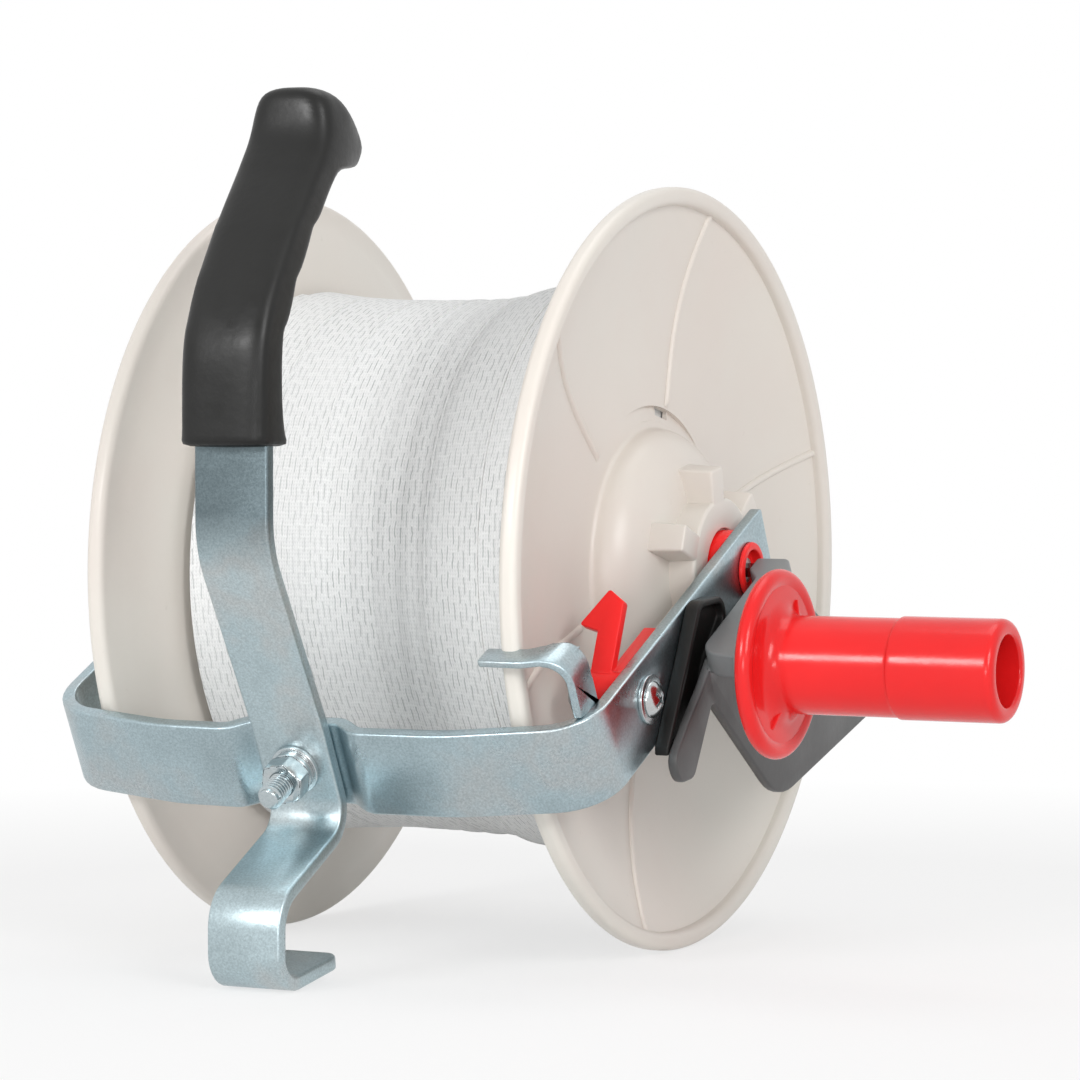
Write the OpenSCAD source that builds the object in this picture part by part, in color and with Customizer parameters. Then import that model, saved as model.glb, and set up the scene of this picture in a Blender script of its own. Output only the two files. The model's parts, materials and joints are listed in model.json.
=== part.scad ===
// Electric fence reel: a wound drum turning in a U-shaped steel frame, with a hook-footed carrying
// handle and a hand crank. Millimetres. The drum's axle lies along X, the crank is on +X, the
// handle is towards -Y, and the reel stands on Z = 0.

/* [Drum] */
// Radius of the two flanges at the rim
flange_r = 125; // [118:1:135]
// Outside width of the drum over both rims
drum_w = 153.4; // [148:0.2:160]
// Depth of the dish, from the rim's outer edge to the flat of the flange
dish_depth = 13.4; // [11:0.2:15]
// Wall of the flanges, hub domes and barrel
drum_wall = 3; // [2.4:0.1:3.4]
// Radius inside which the flange is flat
flat_r = 70; // [62:1:80]
// Radial width of the rim bead
bead_w = 6; // [5:0.5:7]
// Width of the rim bead along the axle
bead_depth = 6.4; // [5.5:0.1:7]
// Outer radius of the barrel that the tape is wound on
barrel_r = 48; // [42:0.5:52]
// Number of radial ribs on a flange
rib_count = 6; // [4:1:8]
// Height of a rib above the dish
rib_h = 1.2; // [0.8:0.1:1.6]
// Thickness of a rib
rib_t = 2; // [1.4:0.1:2.6]
// Angle of the first rib above the +Y axis
rib_angle = 78; // [70:0.5:90]

/* [Hub] */
// Radius of the hub dome where it leaves the flange
dome_r = 46; // [40:0.5:46]
// Height of the hub dome above the flat of the flange
dome_h = 17.5; // [14:0.5:19]
// Radius of the hub boss that carries the lugs
boss_r = 23.5; // [21:0.5:25]
// Height of the boss and lugs above the flat of the flange
boss_h = 26.5; // [24:0.5:27.5]
// Number of ratchet lugs round the boss
lug_count = 6; // [4:1:8]
// Radius of the lugs' outer ends
lug_r = 33.5; // [29:0.5:35]
// Width of a lug
lug_w = 9.4; // [6:0.1:10]
// Angle of the first lug above the +Y axis
lug_angle = 40; // [30:1:50]

/* [Tape] */
// Radius of the winding at its waist
winding_r = 89.5; // [80:0.5:95]
// Extra radius of the winding beside the flanges
winding_flare = 7.5; // [0:0.5:9]
// Place of the waist, from the middle of the drum
waist_x = -8; // [-12:1:4]
// Width of the tape
tape_w = 20; // [12:1:24]
// Thickness of the outer layer
tape_t = 1.2; // [1:0.1:2]
// Gap between neighbouring turns
tape_gap = 0.6; // [0.5:0.05:0.9]

/* [Frame] */
// Width of the flat bar of the frame
frame_bar_w = 29; // [26:0.5:32]
// Thickness of the flat bar of the frame
frame_bar_t = 4.5; // [4:0.1:5]
// Distance from the rims to the outside of the arms, before the shift
arm_gap = 20.3; // [19:0.1:23]
// How far the frame sits towards the crank from the middle of the drum
frame_shift = 1.8; // [1:0.1:2.2]
// Rise of the arms from front to back, degrees
arm_slope = 25.9; // [22:0.1:28]
// How far the arms run past the axle
arm_tail = 17.7; // [15:0.1:20]
// Gap between the rims and the frame's front bar
rim_gap = 1.4; // [1:0.1:3]
// Depth of the step that the handle strap lies in
step_depth = 5.4; // [4:0.1:6.5]

/* [Handle] */
// Width of the strap
strap_w = 25.5; // [20:0.5:27]
// Thickness of the strap
strap_t = 4.5; // [4:0.1:5]
// Middle of the strap along X
handle_x = -1.5; // [-2:0.1:0.5]
// Height of the strap's upper end above the axle
strap_top = 129; // [120:1:131]
// Height of the grip's top above the axle
grip_top = 152; // [149:0.5:156]
// Width of the grip
grip_w = 30; // [28:0.5:34]

/* [Crank and knob] */
// Distance from the axle to the knob's axis
crank_r = 60.2; // [54:0.2:64]
// Thickness of the crank arm
crank_t = 8.3; // [7:0.1:9]
// Thickness of the crank's web
web_t = 3.2; // [2.5:0.1:3.6]
// Radius of the knob's flange
knob_flange_r = 29.6; // [27:0.2:31]
// Radius of the knob's tube next to the flange
knob_tube_r = 15.3; // [14:0.1:16]
// Length of the knob, flange included
knob_len = 78.5; // [70:0.5:85]
// Radius of the bore in the knob's open end
knob_bore_r = 11; // [9:0.2:12]

/* [Fasteners and axle] */
// Radius of the axle
axle_r = 4; // [3.5:0.1:5]
// Thread radius of the handle bolt
bolt_r = 4; // [3.5:0.1:4.5]
// Thread radius of the pawl screw
screw_r = 3; // [2.5:0.1:3.5]
// Running clearance of turning pieces on their pins, on the radius
running = 0.04; // [0.02:0.01:0.08]
// Clearance between pieces that pass or rest beside each other
clear = 0.3; // [0.2:0.05:0.4]

/* [Hidden] */
$fn = 96;

// Places along the axle, measured from the middle of the drum
frame_half_w = drum_w / 2 + arm_gap;
flat_x = drum_w / 2 - dish_depth;
hub_end_x = flat_x + boss_h;
arm_out_right = frame_shift + frame_half_w;
arm_in_right = arm_out_right - frame_bar_t;
arm_out_left = frame_shift - frame_half_w;
arm_in_left = arm_out_left + frame_bar_t;
bush_flange_t = 1.5;
bush_flange_r = 9.2;
bush_sleeve_r = axle_r + 3.5;
bush_mouth_r = axle_r + 2.7;
bush_mouth_depth = 1.6;
bush_face_right = arm_out_right + bush_flange_t;
bush_face_left = arm_out_left - bush_flange_t;
collar_r = 13;
recess_r = collar_r + 0.6;
recess_depth = 1.8;

// Dish of the flange: its outer face at a radius, and the bead at the rim
dish_flare = 10;
function dish_x(r) = flat_x + (r > flat_r ? dish_flare * pow((r - flat_r) / 50, 2) : 0);
bead_in_r = flange_r - bead_w;
bead_round = 2.4;

// Left hub has no lugs, and stops short of the left arm by the collar's length
left_boss_x = arm_in_left + 3;

// Winding between the flanges
winding_edge_x = flat_x - drum_wall - clear;
function winding_radius(x) =
    winding_r + winding_flare * pow(abs(x - waist_x) / (winding_edge_x + abs(waist_x)), 2.6);
tape_pitch = tape_w + tape_gap;
tape_turns = (2 * (winding_edge_x - clear) - tape_w) / tape_pitch;

// The arms' own plane: x is X, y runs up the slope, z is square to both
arm_z_top = frame_bar_w / 2 - 0.9;
arm_z_bottom = arm_z_top - frame_bar_w;
base_y = -(flange_r + rim_gap + frame_bar_t / 2);
base_crown = 4.6;
step_floor_y = base_y - base_crown + step_depth;
step_half = strap_w / 2 + 3;
step_run = 7.5;
corner_r = 17;

// Handle strap: the bolted flat lies on the step's floor
strap_y = step_floor_y - frame_bar_t / 2 - strap_t / 2;
hook_front_y = base_y - 22.85;
hook_tip_y = base_y + 13.15;
hook_top_z = 27 - flange_r;
lip_rise = 5.4;
grip_bottom = 40.8;
grip_line_y = base_y - 29.55;

// Bolt stack, outwards from the strap's front
bolt_head_h = 5.3;
bolt_af = 13;
nut_h = 6.5;
flat_washer_r = 8;
flat_washer_t = 1.8;
spring_washer_r = 6.9;
spring_washer_t = 2.4;
bolt_tip = 9;
bolt_neck = 0.8;
bolt_neck_r = bolt_r - 0.5;
strap_front = strap_y - strap_t / 2;

// Pawl and its screw
pawl_y = base_y + 42.65;
pawl_z = 0.5;
guide_t = 2.3;
pawl_hub_r = 8.6;
pawl_in_x = arm_in_right - 14.8;
pawl_out_x = arm_in_right - guide_t - clear;
finger_len = 34;
finger_t = 3.5;
finger_lean = 41.5;
finger_ahead = 4;
finger_tail = 10;
leaf_t = 2;
leaf_len = 31;
screw_head_r = 5.75;
screw_head_h = 3.1;
screw_washer_r = 7.85;
screw_washer_t = 1.3;
pawl_nut_af = 10;
pawl_nut_h = 5;
pawl_nut_gap = 0.5;

// Crank and knob
web_in_x = arm_out_right + 5.2;
web_out_x = web_in_x + web_t;
crank_in_x = web_out_x - 2;
crank_top_z = 2.9;
knob_in_x = arm_out_right + 30.6;
crank_out_x = knob_in_x - clear;
knob_z = crank_top_z - crank_t / 2 + 0.9;
knob_end_x = knob_in_x + knob_len;
knob_flange_t = 5.6;
knob_rim_r = 2.7;
knob_step_x = knob_in_x + 44;
knob_end_r = knob_tube_r + 0.6;
knob_floor_t = 6;
pin_r = 4;
pin_head_r = 7;
pin_head_h = 5;
pin_seat = 8;
knob_washer_r = 8.5;
knob_washer_t = 1.5;

// Left end of the axle
axle_washer_t = 1.6;
axle_washer_r = 9;
axle_nut_h = 7.5;
axle_nut_af = 13;
axle_left_x = bush_face_left - clear - axle_washer_t - axle_nut_h - 1;
axle_right_x = crank_in_x + 3.6;

// The reel's box, for the origin in the middle of its footprint
box_mid_x = (axle_left_x + knob_end_x) / 2;
grip_front_y = grip_line_y - 9.8;
box_mid_y = (flange_r + grip_front_y) / 2;

// Vector helpers
function unit(v) = v / norm(v);
function flat2(p) = [p[0], p[1]];
function cross2(a, b) = a[0] * b[1] - a[1] * b[0];

// Points of the arc that rounds corner p, of radius p[2], between its neighbours a and b
function corner_arc(a, p, b, steps = 8) =
    let (
        o = flat2(p), u = unit(flat2(a) - o), v = unit(flat2(b) - o), r = p[2],
        half = acos(u * v) / 2, c = o + unit(u + v) * r / sin(half),
        s = o + u * r / tan(half) - c, e = o + v * r / tan(half) - c,
        a0 = atan2(s[1], s[0]), side = cross2(s, e) > 0 ? 1 : -1, sweep = side * (180 - 2 * half)
    )
    [for (i = [0:steps]) c + r * [cos(a0 + sweep * i / steps), sin(a0 + sweep * i / steps)]];

// An open line with its inner corners rounded
function bent_line(pts, steps = 8) = [
    flat2(pts[0]),
    for (i = [1:len(pts) - 2]) each corner_arc(pts[i - 1], pts[i], pts[i + 1], steps),
    flat2(pts[len(pts) - 1])
];

// A closed outline with its corners rounded
function round_outline(pts, steps = 6) =
    let (n = len(pts))
    [for (i = [0:n - 1]) each corner_arc(pts[(i + n - 1) % n], pts[i], pts[(i + 1) % n], steps)];

// A line moved sideways by d, mitred at each point
function beside(line, d) =
    let (n = len(line))
    [for (i = [0:n - 1])
        let (
            back = unit(line[max(i, 1)] - line[max(i, 1) - 1]),
            ahead = unit(line[min(i, n - 2) + 1] - line[min(i, n - 2)]),
            m = unit([-back[1] - ahead[1], back[0] + ahead[0]])
        )
        line[i] + m * d / (m * [-ahead[1], ahead[0]])];

// Section of a bar of thickness t bent along a line
module bent_bar(line, t) {
    there = beside(line, t / 2);
    back = beside(line, -t / 2);
    polygon(concat(there, [for (i = [len(back) - 1:-1:0]) back[i]]));
}

// The whole reel stands on Z = 0 with its footprint about the origin
module stand() {
    translate([-box_mid_x, -box_mid_y, flange_r]) children();
}

// Turns a solid made along Z so that it lies along the axle
module along_axle(x = 0) {
    translate([x, 0, 0]) rotate([0, 90, 0]) children();
}

// Cylinder along the axle from x0 to x1
module rod(r, x0, x1) {
    along_axle(x0) cylinder(r = r, h = x1 - x0);
}

module arm_plane() {
    rotate([arm_slope, 0, 0]) children();
}

// Flat outline given as Y, Z points, made solid from x0 to x1
module side_plate(x0, x1) {
    translate([x0, 0, 0]) rotate([90, 0, 90]) linear_extrude(x1 - x0) children();
}

module hex_rod(af, h) {
    cylinder(r = af / sqrt(3), h = h, $fn = 6);
}

// Hexagon whose outer corners are taken off by a cone
module chamfered_hex(af, h, both = false) {
    intersection() {
        hex_rod(af, h);
        union() {
            translate([0, 0, both ? h / 2 : 0]) cylinder(r1 = af / 2 + h, r2 = af / 2 + 0.05, h = both ? h / 2 : h);
            if (both) cylinder(r1 = af / 2 + 0.05, r2 = af / 2 + h, h = h / 2);
        }
    }
}

// Frame

frame_line = [
    [frame_half_w - frame_bar_t / 2, arm_tail],
    [frame_half_w - frame_bar_t / 2, base_y + 3.6, corner_r],
    [50, base_y - base_crown + 0.4, 80],
    [handle_x - frame_shift + step_half + step_run, base_y - base_crown, 7],
    [handle_x - frame_shift + step_half, step_floor_y, 7],
    [handle_x - frame_shift - step_half, step_floor_y, 7],
    [handle_x - frame_shift - step_half - step_run, base_y - base_crown, 7],
    [-50, base_y - base_crown + 0.4, 80],
    [-frame_half_w + frame_bar_t / 2, base_y + 3.6, corner_r],
    [-frame_half_w + frame_bar_t / 2, arm_tail],
];

module frame() stand() color("#a9b6bc") difference() {
    arm_plane() translate([frame_shift, 0, arm_z_bottom])
        linear_extrude(frame_bar_w) bent_bar(bent_line(frame_line), frame_bar_t);
    rod(bush_sleeve_r, arm_out_left - 5, arm_out_right + 5);
    arm_plane() translate([0, pawl_y, pawl_z]) rod(screw_r + 0.1, arm_in_right - 1, arm_out_right + 1);
    arm_plane() bolt_line() cylinder(r = bolt_r + 0.2, h = 30, center = true);
}

// Line of the handle bolt, pointing out of the front of the frame
module bolt_line() {
    translate([handle_x, strap_y, 0]) rotate([90, 0, 0]) children();
}

// Handle

// Strap seen from the side, as Y, Z points with bend radii
bolt_flat = 13;
function from_arm(y, z) = [y * cos(arm_slope) - z * sin(arm_slope), y * sin(arm_slope) + z * cos(arm_slope)];
flat_top = from_arm(strap_y, bolt_flat);
strap_line = [
    [grip_line_y + 36, strap_top],
    [grip_line_y, 76, 34],
    [grip_line_y, 10, 34],
    [flat_top[0], flat_top[1], 60],
    [from_arm(strap_y, -21)[0], from_arm(strap_y, -21)[1], 11],
    [hook_front_y, hook_top_z, 13],
    [hook_front_y, -flange_r + strap_t / 2 - 1.2, 9],
    [hook_tip_y, -flange_r + strap_t / 2 - 1.2 + lip_rise],
];

module strap_solid(extra = 0) {
    translate([handle_x - strap_w / 2 - extra, 0, 0]) rotate([90, 0, 90])
        linear_extrude(strap_w + 2 * extra) bent_bar(bent_line(strap_line), strap_t + 2 * extra);
}

module handle_strap() stand() color("#b4c2c8") difference() {
    strap_solid();
    arm_plane() bolt_line() cylinder(r = bolt_r + 0.2, h = 30, center = true);
}

// Grip stations: height, front and back from the strap's line, share of the width, squareness
grip_stations = [
    [grip_bottom, -9.8, 11.2, 1.04, 0.5],
    [46, -9.8, 9.2, 1, 0.5],
    [57, -9.6, 7.4, 1, 0.5],
    [68, -9.1, 7.4, 1, 0.5],
    [77, -7.2, 8.7, 1, 0.5],
    [84, -4.8, 14.6, 1, 0.5],
    [94, 0.6, 17.6, 1, 0.5],
    [102, 5.7, 25, 1, 0.5],
    [112, 12.5, 33.6, 1, 0.52],
    [119, 18, 38.7, 1, 0.54],
    [124, 21.8, 42.2, 1, 0.56],
    [126.6, 23.6, 50.2, 1, 0.62],
    [128.6, 24.8, 62.7, 0.98, 0.74],
    [131.5, 26, 65.7, 0.96, 0.8],
    [134.6, 27, 67.2, 0.94, 0.82],
    [138.2, 27.8, 60.7, 0.92, 0.8],
    [142, 28.2, 53.7, 0.86, 0.76],
    [146.2, 28.6, 47.3, 0.74, 0.74],
    [149.6, 29.8, 42.7, 0.56, 0.8],
    [grip_top, 31.7, 36.7, 0.22, 1],
];
grip_sides = 24;
function signed_pow(v, e) = sign(v) * pow(abs(v), e);
function grip_ring(s) = [for (i = [0:grip_sides - 1])
    let (a = 360 * i / grip_sides)
    [handle_x + grip_w / 2 * s[3] * signed_pow(cos(a), s[4]),
     grip_line_y + (s[1] + s[2]) / 2 + (s[2] - s[1]) / 2 * signed_pow(sin(a), s[4]), s[0]]];

// Solid through rings of points, one above the other, closed at each end by a fan, or for a strip of
// so many steps across by a ladder between its two faces
module skin(rings, strip = 0) {
    n = len(rings[0]);
    m = len(rings);
    points = [for (r = rings) each r];
    sides = [for (j = [0:m - 2], i = [0:n - 1])
        let (a = j * n + i, b = j * n + (i + 1) % n)
        each [[a, a + n, b], [b, a + n, b + n]]];
    low = strip > 0
        ? [for (i = [0:strip - 1]) each [[i, i + 1, n - 2 - i], [i, n - 2 - i, n - 1 - i]]]
        : [for (i = [1:n - 2]) [0, i, i + 1]];
    high = [for (f = low) [(m - 1) * n + f[0], (m - 1) * n + f[2], (m - 1) * n + f[1]]];
    polyhedron(points, concat(sides, low, high));
}

module grip() stand() color("#333332") difference() {
    skin([for (s = grip_stations) grip_ring(s)]);
    strap_solid(0.05);
}

module handle_bolt() stand() color("#c2cbd0") arm_plane() bolt_line() {
    translate([0, 0, -strap_t / 2 - frame_bar_t - bolt_head_h]) chamfered_hex(bolt_af, bolt_head_h);
    nut_face = strap_t / 2 + flat_washer_t + spring_washer_t + nut_h;
    shank_from = -strap_t / 2 - frame_bar_t - 0.01;
    translate([0, 0, shank_from]) cylinder(r = bolt_r, h = nut_face - shank_from);
    translate([0, 0, nut_face - 0.01]) cylinder(r = bolt_neck_r, h = bolt_tip - 1);
    translate([0, 0, nut_face + bolt_neck]) cylinder(r = bolt_r, h = bolt_tip - bolt_neck - 1);
    translate([0, 0, nut_face + bolt_tip - 1]) cylinder(r1 = bolt_r, r2 = bolt_r - 1, h = 1);
}

module washer(r, bore, t) {
    difference() {
        cylinder(r = r, h = t);
        translate([0, 0, -1]) cylinder(r = bore, h = t + 2);
    }
}

module flat_washer() stand() color("#c2cbd0") arm_plane() bolt_line()
    translate([0, 0, strap_t / 2]) washer(flat_washer_r, bolt_r + 0.2, flat_washer_t);

module spring_washer() stand() color("#b0babf") arm_plane() bolt_line()
    translate([0, 0, strap_t / 2 + flat_washer_t]) difference() {
        washer(spring_washer_r, bolt_r + 0.15, spring_washer_t);
        rotate([20, 0, 60]) translate([0, 0, -1]) cube([10, 1, 6]);
    }

module handle_nut() stand() color("#c2cbd0") arm_plane() bolt_line()
    translate([0, 0, strap_t / 2 + flat_washer_t + spring_washer_t]) difference() {
        rotate([0, 0, 12]) chamfered_hex(bolt_af, nut_h, both = true);
        translate([0, 0, -1]) cylinder(r = bolt_r, h = nut_h + 2);
    }

// Bushes and collars that carry the axle

module bush(arm_in, arm_out) {
    side = arm_out > arm_in ? 1 : -1;
    along_axle(arm_out) rotate([0, side > 0 ? 0 : 180, 0]) rotate_extrude() polygon([
        [axle_r + running, -frame_bar_t],
        [bush_sleeve_r, -frame_bar_t],
        [bush_sleeve_r, 0],
        [bush_flange_r, 0],
        [bush_flange_r, bush_flange_t - 0.5],
        [bush_flange_r - 0.5, bush_flange_t],
        [bush_mouth_r, bush_flange_t],
        [bush_mouth_r - 0.4, -bush_mouth_depth],
        [axle_r + running, -bush_mouth_depth],
    ]);
}

module bush_right() stand() color("#d8262b") bush(arm_in_right, arm_out_right);

module bush_left() stand() color("#d8262b") bush(arm_in_left, arm_out_left);

module collar(x0, x1) {
    difference() {
        rod(collar_r, x0, x1);
        rod(axle_r + 0.3, x0 - 1, x1 + 1);
    }
}

module collar_right() stand() color("#c92227")
    collar(hub_end_x - recess_depth + clear, arm_in_right);

module collar_left() stand() color("#c92227")
    collar(arm_in_left, left_boss_x - clear);

// Wire guide: a strip clamped under the pawl screw, bent over the rim of the drum

guide_front_y = base_y + 7.15;
guide_tip_y = base_y + 2.25;
guide_w = 12;
guide_finger_w = 3.8;
guide_rise = 21.6;
guide_top_z = arm_z_top + guide_rise;
guide_bend_r = 9;
guide_tip_x = drum_w / 2 - 11.2;
guide_foot_y = base_y + frame_bar_t / 2 + corner_r + 2.5;
guide_line = [
    [arm_in_right - guide_t / 2, -10],
    [arm_in_right - guide_t / 2, guide_top_z - guide_t / 2, guide_bend_r],
    [guide_tip_x - 2, guide_top_z - guide_t / 2 + 0.3],
];
guide_plan = [
    [guide_tip_x, guide_tip_y, 1.2], [guide_tip_x, guide_tip_y + guide_finger_w, 1.2],
    [arm_in_right - 16, guide_tip_y + guide_finger_w + 0.3, 4],
    [arm_in_right - 10, guide_front_y + guide_w * 0.5, 6], [arm_in_right - 5, guide_front_y + guide_w, 6],
    [arm_in_right + 1, guide_front_y + guide_w, 1], [arm_in_right + 1, guide_front_y, 1],
    [arm_in_right - 14.3, guide_tip_y, 12],
];
guide_foot = [
    [guide_front_y, arm_z_top + 0.4, 1.5], [guide_front_y, guide_top_z + 5, 1],
    [guide_front_y + guide_w, guide_top_z + 5, 1], [guide_front_y + guide_w, 21, 3],
    [guide_foot_y + 10.9, 13.5, 4], [pawl_y + 9, 9, 6],
    [pawl_y + 9, -8, 7], [guide_foot_y, -9, 6], [guide_foot_y, arm_z_top + 0.4, 1.5],
];

module wire_guide() stand() color("#a9b6bc") arm_plane() difference() {
    intersection() {
        translate([0, -60, 0]) rotate([90, 0, 0]) linear_extrude(80) bent_bar(bent_line(guide_line, 10), guide_t);
        union() {
            translate([0, 0, arm_z_top + 0.4]) linear_extrude(40) polygon(round_outline(guide_plan));
            side_plate(arm_in_right - guide_t - 0.5, arm_in_right + 1) polygon(round_outline(guide_foot));
        }
    }
    translate([0, pawl_y, pawl_z]) rod(screw_r + 0.1, arm_in_right - 10, arm_in_right + 5);
}

// Brake shoe: a tray-shaped moulding on the outside of the crank's arm

shoe_t = 4.9;
shoe_floor = 2;
shoe_rim = 2.3;
shoe_outline = [
    [-50, -8, 6], [-31.5, -6.6, 6], [-28.6, -14.5, 5], [-41.5, -28, 14], [-47.3, -42.5, 20], [-52.5, -53.2, 6],
    [-71.2, -53, 0.6], [-71.4, -54.6, 0.4], [-73.6, -54.8, 0.5], [-73.6, -52, 2], [-60.3, -28, 30],
];

module brake_shoe() stand() color("#2c2b2a") difference() {
    side_plate(arm_out_right, arm_out_right + shoe_t) polygon(round_outline(shoe_outline));
    side_plate(arm_out_right + shoe_floor, arm_out_right + shoe_t + 1)
        offset(r = -shoe_rim) polygon(round_outline(shoe_outline));
    rod(bush_flange_r + 1.2, arm_out_right - 1, arm_out_right + shoe_t + 1);
}

// Pawl and its screw

module at_pawl() {
    arm_plane() translate([0, pawl_y, pawl_z]) children();
}

finger_outline = [
    [pawl_in_x + 0.5, -finger_tail, 1], [pawl_in_x + 0.5, 20, 0.6], [pawl_in_x - 6.2, 22, 0.8],
    [pawl_in_x + 2.2, finger_len, 1], [pawl_in_x + 7.8, finger_len - 4, 1.5], [pawl_in_x + 7.8, -finger_tail, 1],
];

module pawl() stand() color("#d8262b") at_pawl() difference() {
    union() {
        rod(pawl_hub_r, pawl_in_x, pawl_out_x);
        rotate([finger_lean, 0, 0]) translate([0, 0, finger_ahead - finger_t / 2]) linear_extrude(finger_t)
            polygon(round_outline(finger_outline));
        translate([pawl_out_x - 6, 0, pawl_hub_r - leaf_t - 0.5]) cube([6, leaf_len, leaf_t]);
    }
    rod(screw_r + running, pawl_in_x - 10, pawl_out_x + 5);
}

module pawl_screw() stand() color("#c2cbd0") at_pawl() {
    head_x = arm_out_right + screw_washer_t;
    difference() {
        along_axle(head_x) intersection() {
            cylinder(r = screw_head_r, h = screw_head_h);
            translate([0, 0, -4.6]) sphere(r = 7.7);
        }
        for (turn = [0, 90]) translate([head_x + screw_head_h, 0, 0]) rotate([turn + 20, 0, 0])
            cube([3.6, 1.1, 6], center = true);
    }
    rod(screw_r, pawl_in_x - pawl_nut_gap - pawl_nut_h - 1.5, head_x + 0.01);
}

module pawl_screw_washer() stand() color("#c2cbd0") at_pawl()
    along_axle(arm_out_right) washer(screw_washer_r, screw_r + 0.1, screw_washer_t);

module pawl_nut() stand() color("#c2cbd0") at_pawl()
    along_axle(pawl_in_x - pawl_nut_gap - pawl_nut_h) difference() {
        chamfered_hex(pawl_nut_af, pawl_nut_h, both = true);
        translate([0, 0, -1]) cylinder(r = screw_r, h = pawl_nut_h + 2);
    }

// Drum

// Outer face of a hub dome, from the flange's flat to the boss, as radius and X
dome_foot = 1;
function dome_curve(drop) = [for (a = [0:10:80])
    [18 + (dome_r - 18 - drop) * cos(a), flat_x + dome_foot + (dome_h - dome_foot - drop) * sin(a)]];

// Half section of a flange: rim, dish, dome and axle tube, from radius 0 outwards
function flange_section() =
    let (
        steps = 7,
        dish = [for (i = [0:steps]) let (r = flat_r + (bead_in_r - flat_r) * i / steps) [r, dish_x(r)]],
        bead_x = drum_w / 2,
        bead = [
            for (a = [180:-30:90]) [bead_in_r + bead_round + bead_round * cos(a), bead_x - bead_round + bead_round * sin(a)],
            for (a = [90:-30:0]) [flange_r - bead_round + bead_round * cos(a), bead_x - bead_round + bead_round * sin(a)],
            for (a = [0:-30:-90])
                [flange_r - bead_round + bead_round * cos(a), bead_x - bead_depth + bead_round + bead_round * sin(a)]
        ],
        inner = [for (i = [steps:-1:0]) let (r = flat_r + (bead_in_r - 1 - flat_r) * i / steps) [r, dish_x(r) - drum_wall]],
        dome = dome_curve(0),
        under = dome_curve(drum_wall)
    )
    concat(
        [for (i = [len(dome) - 1:-1:0]) dome[i]],
        [[dome_r + 0.4, flat_x + 0.5], [dome_r + 1.4, flat_x]],
        dish, bead, inner,
        [[dome_r - drum_wall, flat_x - drum_wall]],
        under,
        [[18, flat_x + dome_h - drum_wall], [18, flat_x + dome_h]]
    );

rib_from = 54.5;
module rib() {
    steps = 6;
    line = [for (i = [0:steps]) let (r = rib_from + (bead_in_r + 0.5 - rib_from) * i / steps) [r, dish_x(r)]];
    translate([0, rib_t / 2, 0]) rotate([90, 0, 0]) linear_extrude(rib_t) polygon(concat(
        [for (p = line) [p[1] - 1, p[0]]],
        [for (i = [steps:-1:0]) [line[i][1] + (i == 0 ? 0 : rib_h), line[i][0]]]
    ));
}

// Turns a shape that points along +Z to an angle above the +Y axis
module at_angle(a) {
    rotate([a - 90, 0, 0]) children();
}

// Crescent pocket and slot beside the dome, where the tape's end is anchored
slot_r = [48.5, 53];
slot_w = 9.4;
pocket_r = 54;
pocket_tilt = 12;
pocket_from = 45;
module tape_anchor() {
    at_angle(rib_angle - 2) {
        translate([flat_x - drum_wall - 1, -slot_w / 2, slot_r[0]])
            cube([drum_wall + 3, slot_w, slot_r[1] - slot_r[0]]);
        intersection() {
            difference() {
                rod(pocket_r, flat_x - drum_wall, flat_x + 2);
                rod(dome_r + 1.4, flat_x - drum_wall - 1, flat_x + 3);
            }
            translate([flat_x, 0, pocket_from]) rotate([0, pocket_tilt, 0])
                translate([0, -pocket_r, 0]) cube([8, 2 * pocket_r, 20]);
        }
    }
}

// One flange, dished towards +X, with its hub boss ending at boss_x
module flange(boss_x, lugs) {
    difference() {
        union() {
            along_axle() rotate_extrude($fn = 90) polygon(flange_section());
            rod(boss_r, flat_x + dome_h - drum_wall, boss_x);
            rod(axle_r + 4, flat_x - drum_wall, flat_x + dome_h);
            if (lugs) for (i = [0:lug_count - 1]) at_angle(lug_angle + i * 360 / lug_count)
                translate([flat_x + dome_h - drum_wall, -lug_w / 2, boss_r - 3])
                    cube([boss_x - flat_x - dome_h + drum_wall, lug_w, lug_r - boss_r + 3]);
            for (i = [0:rib_count - 1]) at_angle(rib_angle + i * 360 / rib_count) rib();
        }
        rod(axle_r, flat_x - drum_wall - 1, boss_x + 1);
        rod(recess_r, boss_x - recess_depth, boss_x + 1);
        tape_anchor();
    }
}

module flange_right() stand() color("#ded8d0") flange(hub_end_x, true);

module flange_left() stand() color("#ded8d0") mirror([1, 0, 0]) flange(-left_boss_x, false);

module drum_barrel() stand() color("#d6cfc6") difference() {
    rod(barrel_r, -flat_x + drum_wall, flat_x - drum_wall);
    rod(barrel_r - drum_wall, -flat_x, flat_x);
}

// Wound tape: all the inner layers as one body, then the outer layer as one ribbon

rings_per_turn = 48;
chord = cos(180 / rings_per_turn);
core_steps = 28;
module tape_core() stand() color("#d2d4d4") along_axle() rotate_extrude() polygon(concat(
    [[barrel_r, winding_edge_x], [barrel_r, -winding_edge_x]],
    [for (i = [0:core_steps])
        let (x = -winding_edge_x + 2 * winding_edge_x * i / core_steps)
        [(winding_radius(x) - tape_t) * chord - clear, x]]
));

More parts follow.
